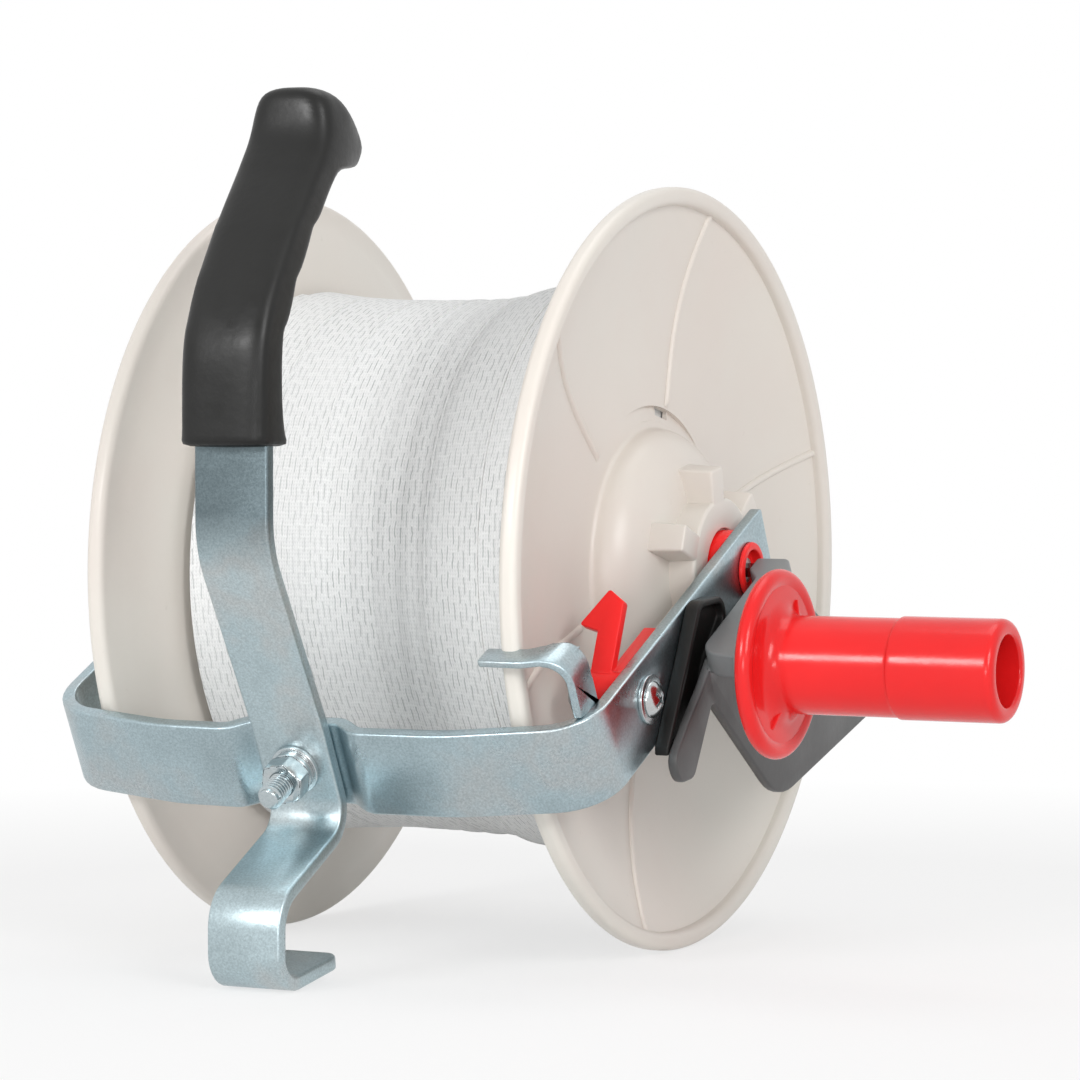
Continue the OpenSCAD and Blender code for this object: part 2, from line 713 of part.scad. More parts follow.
// Section of the tape at a turn count: over the top from its left edge, and back underneath
across_steps = 6;
function tape_point(x, a, r) = [x, r * cos(a), r * sin(a)];
function ribbon_ring(t) =
    let (
        middle = -winding_edge_x + clear + tape_w / 2 + tape_pitch * t,
        places = [for (i = [0:across_steps]) middle + tape_w * (i / across_steps - 0.5)]
    )
    [for (x = places) tape_point(x, 360 * t, winding_radius(x)),
     for (i = [across_steps:-1:0]) tape_point(places[i], 360 * t, winding_radius(places[i]) - tape_t)];
ribbon = [for (i = [0:floor(tape_turns * rings_per_turn)]) ribbon_ring(i / rings_per_turn)];

// Least gap between one turn and the next, over facing corners of the section
turn_gap = min([for (i = [0:len(ribbon) - 1 - rings_per_turn])
    norm(ribbon[i][across_steps] - ribbon[i + rings_per_turn][0])]);
echo(least_gap_between_turns = turn_gap);

module tape_winding() stand() color("#e4e6e6") skin(ribbon, across_steps);

// Axle, crank and knob

// End of the axle, flattened to drive the crank
tang_t = 3.4;
tang_w = 3.4;
module tang(x0, x1) {
    arm_plane() translate([x0, -tang_w / 2, -tang_t / 2]) cube([x1 - x0, tang_w, tang_t]);
}

module axle() stand() color("#9aa1a5") {
    along_axle(axle_left_x) cylinder(r1 = axle_r - 1, r2 = axle_r, h = 1);
    rod(axle_r, axle_left_x + 1, arm_out_right - 1);
    tang(arm_out_right - 2, axle_right_x);
}

module axle_washer() stand() color("#c2cbd0")
    along_axle(bush_face_left - clear - axle_washer_t) washer(axle_washer_r, axle_r, axle_washer_t);

module axle_nut() stand() color("#c2cbd0")
    along_axle(bush_face_left - clear - axle_washer_t - axle_nut_h) difference() {
        chamfered_hex(axle_nut_af, axle_nut_h, both = true);
        translate([0, 0, -1]) cylinder(r = axle_r, h = axle_nut_h + 2);
    }

// Crank arm in plan, as X and distance up the slope: its spur stands off the face of the bush
spur_x = bush_face_right + 0.4;
crank_plan = [
    [spur_x, 3.4, 1.2], [spur_x, -4, 1.2], [crank_in_x, -10, 4],
    [crank_in_x, -59.5, 8.5], [crank_in_x + 13, -61.8, 6],
    [crank_in_x + 18, -crank_r - 9, 5], [crank_out_x, -crank_r - 9, 1],
    [crank_out_x, -crank_r + 10, 6], [crank_in_x + 10.5, -4.5, 8], [crank_in_x + 6.5, 3.4, 2.5],
];

// Web below the crank arm, as Y, Z points with corner radii
web_top_z = -2.6;
web_outline = [
    [each from_arm(10, web_top_z), 4], [each from_arm(-54, web_top_z), 3], [-54.5, -34, 10], [-66, -45, 30],
    [-76.5, -56, 5], [-71.5, -63.5, 6], [-61.3, -62.5, 5], [-47.6, -39.6, 2], [5.3, -75.3, 26],
    [80, -53.6, 12], [98, -48.4, 5], [94, -38, 8], [42, -18, 30], [16, -4, 12],
];

module crank_arm() stand() color("#85878a") difference() {
    union() {
        arm_plane() translate([0, 0, crank_top_z - crank_t])
            linear_extrude(crank_t) polygon(round_outline(crank_plan));
        side_plate(web_in_x, web_out_x) polygon(round_outline(web_outline));
        knob_axis() rod(crank_t / 2 + 4, crank_out_x - pin_seat - 1, crank_out_x);
    }
    tang(spur_x - 1, axle_right_x);
    knob_axis() rod(pin_r, crank_out_x - pin_seat, crank_out_x + 1);
}

module knob_axis() {
    arm_plane() translate([0, -crank_r, knob_z]) children();
}

module knob_pin() stand() color("#9aa1a5") knob_axis() {
    head_x = knob_in_x + knob_floor_t + clear + knob_washer_t;
    rod(pin_r, crank_out_x - pin_seat, head_x + 0.01);
    along_axle(head_x) intersection() {
        cylinder(r = pin_head_r, h = pin_head_h);
        translate([0, 0, -2.5]) sphere(r = 9.2);
    }
}

module knob_washer() stand() color("#c2cbd0") knob_axis()
    along_axle(knob_in_x + knob_floor_t + clear) washer(knob_washer_r, pin_r, knob_washer_t);

// Knob section, as radius and distance from its flange's inner face
lip = 2;
knob_section = [
    [pin_r + running, 0],
    each [for (a = [-90:30:90]) [knob_flange_r - knob_rim_r + knob_rim_r * cos(a), knob_rim_r + knob_rim_r * sin(a)]],
    [knob_flange_r - 5, knob_flange_t - 1.3],
    [knob_tube_r + 6.5, knob_flange_t - 1.3],
    [knob_tube_r + 3.6, knob_flange_t - 0.2],
    [knob_tube_r + 1.3, knob_flange_t + 2],
    [knob_tube_r, knob_flange_t + 5.5],
    [knob_tube_r, knob_step_x - knob_in_x],
    [knob_end_r, knob_step_x - knob_in_x + 0.6],
    each [for (a = [0:22.5:90]) [knob_end_r - lip + lip * cos(a), knob_len - lip + lip * sin(a)]],
    each [for (a = [90:-30:0]) [knob_bore_r + 1 - cos(a), knob_len - 1 + sin(a)]],
    [knob_bore_r, knob_floor_t],
    [pin_r + running, knob_floor_t],
];

// Ribs that stiffen the flange against the tube
knob_ribs = 2;
knob_rib_t = 1.4;
module knob() stand() color("#dc1f24") knob_axis() {
    along_axle(knob_in_x) rotate_extrude() polygon(knob_section);
    for (i = [0:knob_ribs - 1]) rotate([360 * i / knob_ribs - arm_slope, 0, 0])
        translate([0, -knob_rib_t / 2, 0]) rotate([90, 0, 0]) mirror([0, 0, 1]) linear_extrude(knob_rib_t) polygon([
            [knob_in_x + 1, knob_tube_r - 2], [knob_in_x + 12, knob_tube_r - 2],
            [knob_in_x + 11.5, knob_tube_r + 0.2], [knob_in_x + 4.2, knob_flange_r - 4],
            [knob_in_x + 1, knob_flange_r - 4],
        ]);
}

frame();
handle_strap();
grip();
handle_bolt();
flat_washer();
spring_washer();
handle_nut();
bush_right();
bush_left();
collar_right();
collar_left();
wire_guide();
brake_shoe();
pawl_screw();
pawl_screw_washer();
pawl_nut();
pawl();
flange_right();
flange_left();
drum_barrel();
tape_core();
tape_winding();
axle();
axle_washer();
axle_nut();
crank_arm();
knob_pin();
knob_washer();
knob();
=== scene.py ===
import json
import math
import random

import bpy
from mathutils import Matrix, Vector


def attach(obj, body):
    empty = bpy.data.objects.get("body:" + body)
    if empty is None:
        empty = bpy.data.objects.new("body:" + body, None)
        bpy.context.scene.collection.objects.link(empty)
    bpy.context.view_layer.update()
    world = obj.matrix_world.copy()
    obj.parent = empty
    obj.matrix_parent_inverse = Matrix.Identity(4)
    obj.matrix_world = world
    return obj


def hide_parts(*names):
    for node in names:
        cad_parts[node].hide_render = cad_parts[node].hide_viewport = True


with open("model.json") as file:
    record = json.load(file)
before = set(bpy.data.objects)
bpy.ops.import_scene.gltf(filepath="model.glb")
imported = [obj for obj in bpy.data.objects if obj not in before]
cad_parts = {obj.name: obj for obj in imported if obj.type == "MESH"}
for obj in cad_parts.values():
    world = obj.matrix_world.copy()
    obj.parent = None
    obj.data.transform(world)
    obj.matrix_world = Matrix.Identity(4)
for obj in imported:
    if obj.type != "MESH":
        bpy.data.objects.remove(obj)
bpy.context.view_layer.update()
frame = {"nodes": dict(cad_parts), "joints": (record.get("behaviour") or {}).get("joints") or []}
print("frame loaded")

mm = 0.001
joints = {joint["name"]: joint for joint in frame["joints"]}
axlePoint = Vector(joints["drum_spin"]["pos_m"])
armSlope = math.radians(25.9)                      # rise of the arms from front to back


# ---- selecting and modelling helpers

def clearSelection():
    if bpy.context.object and bpy.context.object.mode != "OBJECT":
        bpy.ops.object.mode_set(mode="OBJECT")
    bpy.ops.object.select_all(action="DESELECT")


def makeActive(piece):
    clearSelection()
    piece.select_set(True)
    bpy.context.view_layer.objects.active = piece


def applyModifier(piece, kind, **settings):
    modifier = piece.modifiers.new(kind.title(), kind)
    for key, value in settings.items():
        setattr(modifier, key, value)
    makeActive(piece)
    bpy.ops.object.modifier_apply(modifier=modifier.name)


def smoothByAngle(piece, degrees=35):
    makeActive(piece)
    bpy.ops.object.shade_smooth_by_angle(angle=math.radians(degrees))


def applyPlace(piece):
    makeActive(piece)
    bpy.ops.object.transform_apply(location=True, rotation=True, scale=True)


def mergeDoubles(piece, distance=1e-6, outward=True):
    makeActive(piece)
    bpy.ops.object.mode_set(mode="EDIT")
    bpy.ops.mesh.select_all(action="SELECT")
    bpy.ops.mesh.remove_doubles(threshold=distance)
    if outward:
        bpy.ops.mesh.normals_make_consistent(inside=False)
    bpy.ops.object.mode_set(mode="OBJECT")


def paint(piece, material):
    piece.data.materials.clear()
    piece.data.materials.append(material)


def place(piece, body, slotName, *nodes):
    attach(piece, body)
    if nodes:
        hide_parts(*nodes)


# A copy of a CAD node, merged, with flat faces joined and its edges rounded over
def roundedCopy(node, name, width, segments=3, angle=30, smooth=40, shape=None):
    source = frame["nodes"][node]
    piece = source.copy()
    piece.data = source.data.copy()
    piece.name = name
    piece.data.name = name
    for key in [key for key in piece.keys() if key.startswith("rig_")]:
        del piece[key]
    piece.parent = None
    bpy.context.scene.collection.objects.link(piece)
    makeActive(piece)
    bpy.ops.object.mode_set(mode="EDIT")
    bpy.ops.mesh.select_all(action="SELECT")
    bpy.ops.mesh.remove_doubles(threshold=2e-6)
    bpy.ops.mesh.dissolve_limited(angle_limit=math.radians(0.5))
    bpy.ops.object.mode_set(mode="OBJECT")
    if shape:
        shape(piece)
    applyModifier(piece, "BEVEL", width=width, segments=segments, limit_method="ANGLE",
                  angle_limit=math.radians(angle), use_clamp_overlap=False, miter_outer="MITER_ARC")
    smoothByAngle(piece, smooth)
    return piece


def cutAway(piece, cutter, operation="DIFFERENCE"):
    applyModifier(piece, "BOOLEAN", object=cutter, operation=operation, solver="EXACT")
    bpy.data.objects.remove(cutter, do_unlink=True)


def joinPieces(name, pieces):
    clearSelection()
    for piece in pieces:
        piece.select_set(True)
    bpy.context.view_layer.objects.active = pieces[0]
    bpy.ops.object.join()
    pieces[0].name = name
    pieces[0].data.name = name
    return pieces[0]


# ---- material helpers

def newMaterial(name, **sockets):
    material = bpy.data.materials.new(name)
    material.use_nodes = True
    shader = material.node_tree.nodes["Principled BSDF"]
    for key, value in sockets.items():
        shader.inputs[key].default_value = value
    return material, material.node_tree, shader


def addNode(tree, kind, inputs=None, **settings):
    node = tree.nodes.new(kind)
    for key, value in settings.items():
        setattr(node, key, value)
    for key, value in (inputs or {}).items():
        if isinstance(value, bpy.types.NodeSocket):
            tree.links.new(value, node.inputs[key])
        else:
            node.inputs[key].default_value = value
    return node


def math2(tree, operation, first, second=0.0, clamp=False):
    node = addNode(tree, "ShaderNodeMath", {0: first, 1: second}, operation=operation, use_clamp=clamp)
    return node.outputs[0]


def noise(tree, coordinate, scale, detail=3.0, roughness=0.5):
    node = addNode(tree, "ShaderNodeTexNoise",
                   {"Vector": coordinate, "Scale": scale, "Detail": detail, "Roughness": roughness})
    return node.outputs["Fac"]


def ramp(tree, factor, stops):
    node = addNode(tree, "ShaderNodeValToRGB", {"Fac": factor})
    while len(node.color_ramp.elements) < len(stops):
        node.color_ramp.elements.new(0.5)
    for element, (position, colour) in zip(node.color_ramp.elements, stops):
        element.position = position
        element.color = (*colour, 1.0)
    return node.outputs["Color"]


def rescale(tree, value, low, high, toLow, toHigh):
    node = addNode(tree, "ShaderNodeMapRange",
                   {"Value": value, "From Min": low, "From Max": high, "To Min": toLow, "To Max": toHigh})
    return node.outputs["Result"]


def objectPoint(tree):
    return addNode(tree, "ShaderNodeTexCoord").outputs["Object"]


def addBump(tree, shader, height, strength, distance, normal=None):
    inputs = {"Height": height, "Strength": strength, "Distance": distance}
    if normal is not None:
        inputs["Normal"] = normal
    bump = addNode(tree, "ShaderNodeBump", inputs)
    tree.links.new(bump.outputs["Normal"], shader.inputs["Normal"])
    return bump.outputs["Normal"]


def shade(colour, amount):
    return tuple(channel * amount for channel in colour)


# Bright zinc plate on steel: blue-grey with a faint warm bloom, fine spangle and soft reflections; where asked, painted
# shade darkens it above a given height
def zincMaterial(name, colour, roughness, grain=1.0, paintedShade=None):
    material, tree, shader = newMaterial(name, Metallic=1.0)
    point = objectPoint(tree)
    cloud = noise(tree, point, 26.0, 4.0, 0.55)
    warm = (colour[0] * 1.10, colour[1] * 0.98, colour[2] * 0.94)
    tone = ramp(tree, cloud, [(0.32, shade(colour, 0.86)), (0.5, colour), (0.62, warm), (0.75, shade(colour, 1.06))])
    speck = noise(tree, point, 1500.0, 2.0, 0.6)
    speckTone = ramp(tree, speck, [(0.32, (0.70, 0.72, 0.73)), (0.52, (1.0, 1.0, 1.0)), (0.70, (1.25, 1.25, 1.25))])
    mixed = addNode(tree, "ShaderNodeMix", {"Factor": 0.55 * grain, "A": tone, "B": speckTone},
                    data_type="RGBA", blend_type="MULTIPLY")
    mixed.inputs[0].default_value = 0.55 * grain
    tree.links.new(tone, mixed.inputs[6])
    tree.links.new(speckTone, mixed.inputs[7])
    plate = mixed.outputs[2]
    # painted shade: above a given height the plate darkens to a tint, with a cloudy edge, where the grip shades the
    # strap
    if paintedShade:
        level = addNode(tree, "ShaderNodeSeparateXYZ", {0: point}).outputs["Z"]
        level = math2(tree, "ADD", level, math2(tree, "MULTIPLY", cloud, paintedShade["uneven"]))
        shadeRamp = ramp(tree, rescale(tree, level, paintedShade["from"], paintedShade["to"], 0.0, 1.0),
                    [(0.0, (1.0, 1.0, 1.0)), (1.0, paintedShade["tint"])])
        shadedPlate = addNode(tree, "ShaderNodeMix", data_type="RGBA", blend_type="MULTIPLY")
        shadedPlate.inputs[0].default_value = 1.0
        tree.links.new(plate, shadedPlate.inputs[6])
        tree.links.new(shadeRamp, shadedPlate.inputs[7])
        plate = shadedPlate.outputs[2]
    tree.links.new(plate, shader.inputs["Base Color"])
    rough = noise(tree, point, 60.0, 3.0, 0.6)
    tree.links.new(rescale(tree, rough, 0.3, 0.7, roughness - 0.06, roughness + 0.07), shader.inputs["Roughness"])
    pits = noise(tree, point, 900.0, 4.0, 0.7)
    waves = noise(tree, point, 70.0, 2.0, 0.5)
    height = math2(tree, "ADD", math2(tree, "MULTIPLY", pits, 0.35), waves)
    addBump(tree, shader, height, 0.30 * grain, 0.0006)
    return material


# Moulded plastic with a faint orange-peel skin and slow changes of tone
def plasticMaterial(name, colour, roughness, mottle=0.05, peel=0.12, specular=0.3, peelScale=420.0, patchy=0.06):
    material, tree, shader = newMaterial(name, **{"Specular IOR Level": specular})
    point = objectPoint(tree)
    cloud = noise(tree, point, 18.0, 5.0, 0.6)
    tone = ramp(tree, cloud, [(0.3, shade(colour, 1 - mottle)), (0.5, colour), (0.72, shade(colour, 1 + mottle))])
    tree.links.new(tone, shader.inputs["Base Color"])
    rough = noise(tree, point, 45.0, 4.0, 0.6)
    tree.links.new(rescale(tree, rough, 0.3, 0.7, roughness - patchy, roughness + patchy), shader.inputs["Roughness"])
    skin = noise(tree, point, peelScale, 2.0, 0.5)
    addBump(tree, shader, skin, peel, 0.0004)
    return material


# The crank's plastic, with painted light: paler along its top bar, as if lit from above, and darker on the shaded web
# below
def crankMaterial(settings):
    material, tree, shader = newMaterial("greyCrank", **{"Specular IOR Level": 0.4})
    point = objectPoint(tree)
    up = (0, -math.sin(armSlope), math.cos(armSlope))
    height = addNode(tree, "ShaderNodeVectorMath", {0: point, 1: up}, operation="DOT_PRODUCT").outputs["Value"]
    level = Vector(up).dot(axlePoint)
    # painted light: the colour runs from the shaded web up to the lit top with height above the arm's plane
    share = rescale(tree, height, level + settings["from"], level + settings["to"], 0.0, 1.0)
    cloud = noise(tree, point, 18.0, 5.0, 0.6)
    tone = ramp(tree, share, [(0.0, settings["web"]), (1.0, settings["top"])])
    patch = ramp(tree, cloud, [(0.3, (0.92, 0.92, 0.92)), (0.7, (1.0, 1.0, 1.0))])
    mixed = addNode(tree, "ShaderNodeMix", data_type="RGBA", blend_type="MULTIPLY")
    mixed.inputs[0].default_value = 1.0
    tree.links.new(tone, mixed.inputs[6])
    tree.links.new(patch, mixed.inputs[7])
    tree.links.new(mixed.outputs[2], shader.inputs["Base Color"])
    tree.links.new(rescale(tree, noise(tree, point, 45.0, 4.0, 0.6), 0.3, 0.7, 0.36, 0.48), shader.inputs["Roughness"])
    addBump(tree, shader, noise(tree, point, 420.0, 2.0, 0.5), 0.12, 0.0004)
    return material


# Cream drum plastic: pinkish and greenish drifts of tone, scuffs and a little dust
def creamMaterial(settings):
    material, tree, shader = newMaterial("creamPlastic")
    point = objectPoint(tree)
    cloud = noise(tree, point, 9.0, 4.0, 0.55)
    tone = ramp(tree, cloud, [(0.34, settings["pink"]), (0.5, settings["colour"]), (0.66, settings["green"])])
    dust = noise(tree, point, 260.0, 6.0, 0.72)
    spots = ramp(tree, dust, [(0.28, (0.80, 0.78, 0.76)), (0.36, (1.0, 1.0, 1.0))])
    mixed = addNode(tree, "ShaderNodeMix", data_type="RGBA", blend_type="MULTIPLY")
    mixed.inputs[0].default_value = settings["dust"]
    tree.links.new(tone, mixed.inputs[6])
    tree.links.new(spots, mixed.inputs[7])
    tree.links.new(mixed.outputs[2], shader.inputs["Base Color"])
    rough = noise(tree, point, 30.0, 5.0, 0.6)
    tree.links.new(rescale(tree, rough, 0.3, 0.7, settings["roughness"] - 0.05, settings["roughness"] + 0.08),
                   shader.inputs["Roughness"])
    skin = noise(tree, point, 140.0, 3.0, 0.5)
    addBump(tree, shader, skin, 0.06, 0.0008)
    return material


# Knitted polythene tape. UV is in metres: U runs along the tape and V across it
def tapeMaterial(settings):
    material, tree, shader = newMaterial("knittedTape")
    shader.inputs["Roughness"].default_value = 0.6
    shader.inputs["Specular IOR Level"].default_value = 0.3
    spread = addNode(tree, "ShaderNodeUVMap", uv_map="tape").outputs["UV"]
    spot = addNode(tree, "ShaderNodeSeparateXYZ", {0: spread})
    along, across = spot.outputs["X"], spot.outputs["Y"]
    wander = math2(tree, "SUBTRACT", noise(tree, spread, 230.0, 2.0, 0.5), 0.5)
    patch = noise(tree, spread, 32.0, 2.0, 0.5)
    swayed = math2(tree, "ADD", across, math2(tree, "MULTIPLY", wander, settings["sway"]))
    # threads that run along the tape and come up as staggered dashes
    column = math2(tree, "DIVIDE", swayed, settings["threadPitch"])
    number = math2(tree, "FLOOR", column)
    chance = addNode(tree, "ShaderNodeTexWhiteNoise", {"W": number}, noise_dimensions="1D").outputs["Value"]
    beside = math2(tree, "ABSOLUTE", math2(tree, "SUBTRACT", math2(tree, "FRACT", column), 0.5))
    halfThread = settings["threadWidth"] / settings["threadPitch"]
    thin = rescale(tree, beside, halfThread, halfThread * 2.2, 1.0, 0.0)
    run = math2(tree, "ADD", math2(tree, "DIVIDE", along, settings["dashPitch"]), math2(tree, "MULTIPLY", number, 0.5))
    run = math2(tree, "ADD", run, math2(tree, "MULTIPLY", chance, 0.45))
    run = math2(tree, "ADD", run, math2(tree, "MULTIPLY", wander, 0.2))
    inDash = math2(tree, "ABSOLUTE", math2(tree, "SUBTRACT", math2(tree, "FRACT", run), 0.5))
    long = rescale(tree, inDash, settings["dashShare"] / 2, settings["dashShare"] / 2 - 0.05, 0.0, 1.0)
    dash = math2(tree, "MULTIPLY", thin, long, True)
    faded = math2(tree, "MULTIPLY", dash, rescale(tree, patch, 0.35, 0.62, 0.5, 1.0))
    # knitted columns, their stitches, and the weft that lies across in rows
    knit = math2(tree, "SINE", math2(tree, "MULTIPLY", swayed, 2 * math.pi / settings["knitPitch"]))
    lean = math2(tree, "MULTIPLY", knit, 1.3)
    stitch = math2(tree, "SINE", math2(tree, "ADD", lean,
                                       math2(tree, "MULTIPLY", along, 2 * math.pi / settings["stitchPitch"])))
    rowShift = math2(tree, "MULTIPLY", math2(tree, "SINE", math2(tree, "MULTIPLY", across, 2 * math.pi / 6.6e-3)), 0.10)
    row = math2(tree, "FRACT", math2(tree, "ADD", math2(tree, "DIVIDE", along, settings["rowPitch"]), rowShift))
    weft = rescale(tree, math2(tree, "ABSOLUTE", math2(tree, "SUBTRACT", row, 0.5)), 0.03, 0.11, 1.0, 0.0)
    weave = math2(tree, "ADD", math2(tree, "MULTIPLY", knit, 0.15), math2(tree, "MULTIPLY", stitch, 0.13))
    uneven = math2(tree, "MULTIPLY", noise(tree, spread, 600.0, 3.0, 0.6), 0.45)
    weave = math2(tree, "ADD", weave, math2(tree, "ADD", 0.30, math2(tree, "MULTIPLY", weft, 0.17)))
    weave = math2(tree, "ADD", weave, uneven)
    # the tone follows the weave: painted shade in the knit's hollows and painted light on its raised stitches and weft
    # rows, with random unevenness
    base = ramp(tree, weave, [(0.05, settings["shadow"]), (0.5, settings["colour"]), (0.95, settings["light"])])
    mixed = addNode(tree, "ShaderNodeMix", data_type="RGBA", blend_type="MIX")
    tree.links.new(math2(tree, "MULTIPLY", faded, settings["dashStrength"]), mixed.inputs[0])
    tree.links.new(base, mixed.inputs[6])
    mixed.inputs[7].default_value = (*settings["thread"], 1.0)
    tree.links.new(mixed.outputs[2], shader.inputs["Base Color"])
    height = math2(tree, "SUBTRACT", weave, math2(tree, "MULTIPLY", faded, 0.7))
    addBump(tree, shader, height, 0.5, 0.00022)
    return material


cream = creamMaterial({"colour": (0.735, 0.692, 0.635), "pink": (0.728, 0.668, 0.612), "green": (0.718, 0.692, 0.635),
                       "roughness": 0.34, "dust": 0.25})
zincBar = zincMaterial("zincBar", (0.405, 0.500, 0.535), 0.31)
# the strap carries painted shade, darker up towards the grip
zincStrap = zincMaterial("zincStrap", (0.455, 0.550, 0.580), 0.33, paintedShade={
    "from": 0.134, "to": 0.150, "uneven": 0.010, "tint": (0.36, 0.38, 0.39)})
zincBright = zincMaterial("zincBright", (0.50, 0.56, 0.58), 0.20, grain=0.4)
drawnSteel = zincMaterial("drawnSteel", (0.36, 0.37, 0.37), 0.28, grain=0.4)
gripRubber = plasticMaterial("gripRubber", (0.0085, 0.0085, 0.008), 0.40, mottle=0.3, peel=0.14, specular=0.32, patchy=0.14)
redSatin = plasticMaterial("redSatin", (0.93, 0.020, 0.020), 0.32, specular=0.30)
redGloss = plasticMaterial("redGloss", (0.74, 0.013, 0.014), 0.20, peel=0.07, specular=0.36)
blackTray = plasticMaterial("blackTray", (0.012, 0.012, 0.0115), 0.42, specular=0.22)
# the crank's two tones are painted light: a lit top bar and a shaded web
greyCrank = crankMaterial({"top": (0.215, 0.225, 0.228), "web": (0.078, 0.078, 0.078), "from": -10.0 * mm, "to": -4.0 * mm})
tapeCloth = tapeMaterial({"colour": (0.755, 0.762, 0.760), "light": (0.84, 0.845, 0.842), "shadow": (0.60, 0.610, 0.608),
                          "thread": (0.36, 0.375, 0.375), "threadPitch": 2.1 * mm, "threadWidth": 0.11 * mm,
                          "dashPitch": 7.6 * mm, "dashShare": 0.72, "dashStrength": 0.72, "sway": 1.5 * mm,
                          "knitPitch": 0.97 * mm, "stitchPitch": 1.25 * mm, "rowPitch": 3.7 * mm})
print("materials made")

nodeMaterials = {
    "drum_barrel": cream, "axle": drawnSteel, "axle_washer": zincBright, "axle_nut": zincBright,
    "pawl_nut": zincBright, "knob_pin": drawnSteel, "knob_washer": zincBright,
}
for node, material in nodeMaterials.items():
    paint(frame["nodes"][node], material)


# ---- pieces that keep the CAD shape, with their edges rounded

hookLip = {"roundness": 5.0 * mm, "reach": 2.0 * mm, "thickness": (4.2 * mm, 4.8 * mm), "below": 30 * mm}


# Rounds the two corners of the hook's lip, seen from above
def roundLip(piece):
    low = [vertex.co.y for vertex in piece.data.vertices if vertex.co.z < hookLip["below"]]
    tip = max(low)
    makeActive(piece)
    bpy.ops.object.mode_set(mode="EDIT")
    bpy.ops.mesh.select_mode(type="EDGE")
    bpy.ops.mesh.select_all(action="DESELECT")
    bpy.ops.object.mode_set(mode="OBJECT")
    thin, thick = hookLip["thickness"]
    for edge in piece.data.edges:
        first, second = (piece.data.vertices[index].co for index in edge.vertices)
        middle = (first + second) / 2
        upright = abs(first.x - second.x) < 1e-5 and thin < (first - second).length < thick
        edge.select = upright and middle.y > tip - hookLip["reach"] and middle.z < hookLip["below"]
    bpy.ops.object.mode_set(mode="EDIT")
    bpy.ops.mesh.bevel(offset=hookLip["roundness"], segments=7, affect="EDGES")
    bpy.ops.mesh.select_mode(type="VERT")
    bpy.ops.object.mode_set(mode="OBJECT")


pawlFinger = {"pivot": Vector(joints["pawl_pivot"]["pos_m"]), "lean": armSlope + math.radians(41.5), "tail": 9.9 * mm,
              "longer": 11.0 * mm}


# The finger runs on down behind the front bar
def lengthenFinger(piece):
    along = Vector((0, math.cos(pawlFinger["lean"]), math.sin(pawlFinger["lean"])))
    for vertex in piece.data.vertices:
        if (vertex.co - pawlFinger["pivot"]).dot(along) < -pawlFinger["tail"] + 1.2 * mm:
            vertex.co -= along * pawlFinger["longer"]


guideTongue = {"tipX": axlePoint.x + 65.5 * mm, "rootX": axlePoint.x + 86.0 * mm, "frontY": -126.4 * mm, "wider": 4.6 * mm,
               "plateFrom": 17.5 * mm, "plateTop": 11.0 * mm}


# Widens the tongue backwards, fading out towards its root, and lowers the foot behind it
def widenTongue(piece):
    along = Vector((0, math.cos(armSlope), math.sin(armSlope)))
    up = Vector((0, -math.sin(armSlope), math.cos(armSlope)))
    for vertex in piece.data.vertices:
        back = (vertex.co - axlePoint).dot(along) - guideTongue["frontY"]
        share = min(max((guideTongue["rootX"] - vertex.co.x) / (8 * mm), 0.0), 1.0)
        if back > 1.5 * mm and share > 0:
            vertex.co += along * guideTongue["wider"] * share * min(back / (3.8 * mm), 1.0)
        above = (vertex.co - axlePoint).dot(up) - guideTongue["plateTop"]
        if back > guideTongue["plateFrom"] and above > 0:
            vertex.co -= up * above


barStock = {
    "frame": {"name": "frameBar", "body": "frame", "slot": "zinc_frame", "edge": 0.9 * mm, "material": zincBar},
    "handle_strap": {"name": "handleStrap", "body": "frame", "slot": "zinc_frame", "edge": 0.9 * mm,
                     "material": zincStrap, "shape": roundLip},
    "wire_guide": {"name": "wireGuide", "body": "frame", "slot": "zinc_frame", "edge": 0.7 * mm,
                   "material": zincBar, "shape": widenTongue},
    "crank_arm": {"name": "crankArm", "body": "drum", "slot": "grey_plastic", "edge": 0.8 * mm,
                  "material": greyCrank},
    "brake_shoe": {"name": "brakeShoe", "body": "frame", "slot": "black_plastic", "edge": 0.8 * mm,
                   "material": blackTray},
    "pawl": {"name": "pawlLever", "body": "pawl", "slot": "red_plastic", "edge": 0.5 * mm, "material": redSatin,
             "shape": lengthenFinger},
    "bush_right": {"name": "bushRight", "body": "frame", "slot": "red_plastic", "edge": 0.4 * mm,
                   "material": redSatin},
    "bush_left": {"name": "bushLeft", "body": "frame", "slot": "red_plastic", "edge": 0.4 * mm,
                  "material": redSatin},
    "collar_right": {"name": "collarRight", "body": "frame", "slot": "red_plastic", "edge": 0.5 * mm,
                     "material": redSatin},
    "collar_left": {"name": "collarLeft", "body": "frame", "slot": "red_plastic", "edge": 0.5 * mm,
                    "material": redSatin},
    "flat_washer": {"name": "flatWasher", "body": "frame", "slot": "zinc_fastener", "edge": 0.3 * mm,
                    "material": zincBright},
    "handle_nut": {"name": "handleNut", "body": "frame", "slot": "zinc_fastener", "edge": 0.3 * mm,
                   "material": zincBright, "angle": 20},
    "pawl_screw_washer": {"name": "pawlWasher", "body": "frame", "slot": "zinc_fastener", "edge": 0.25 * mm,
                          "material": zincBright},
    "pawl_screw": {"name": "pawlScrew", "body": "frame", "slot": "zinc_fastener", "edge": 0.2 * mm,
                   "material": zincBright, "angle": 36},
}
for node, part in barStock.items():
    piece = roundedCopy(node, part["name"], part["edge"], angle=part.get("angle", 30), shape=part.get("shape"))
    paint(piece, part["material"])
    place(piece, part["body"], part["slot"], node)
    print("rounded", part["name"], len(piece.data.polygons))


# ---- turned mouldings: a closed outline spun about an axis along X

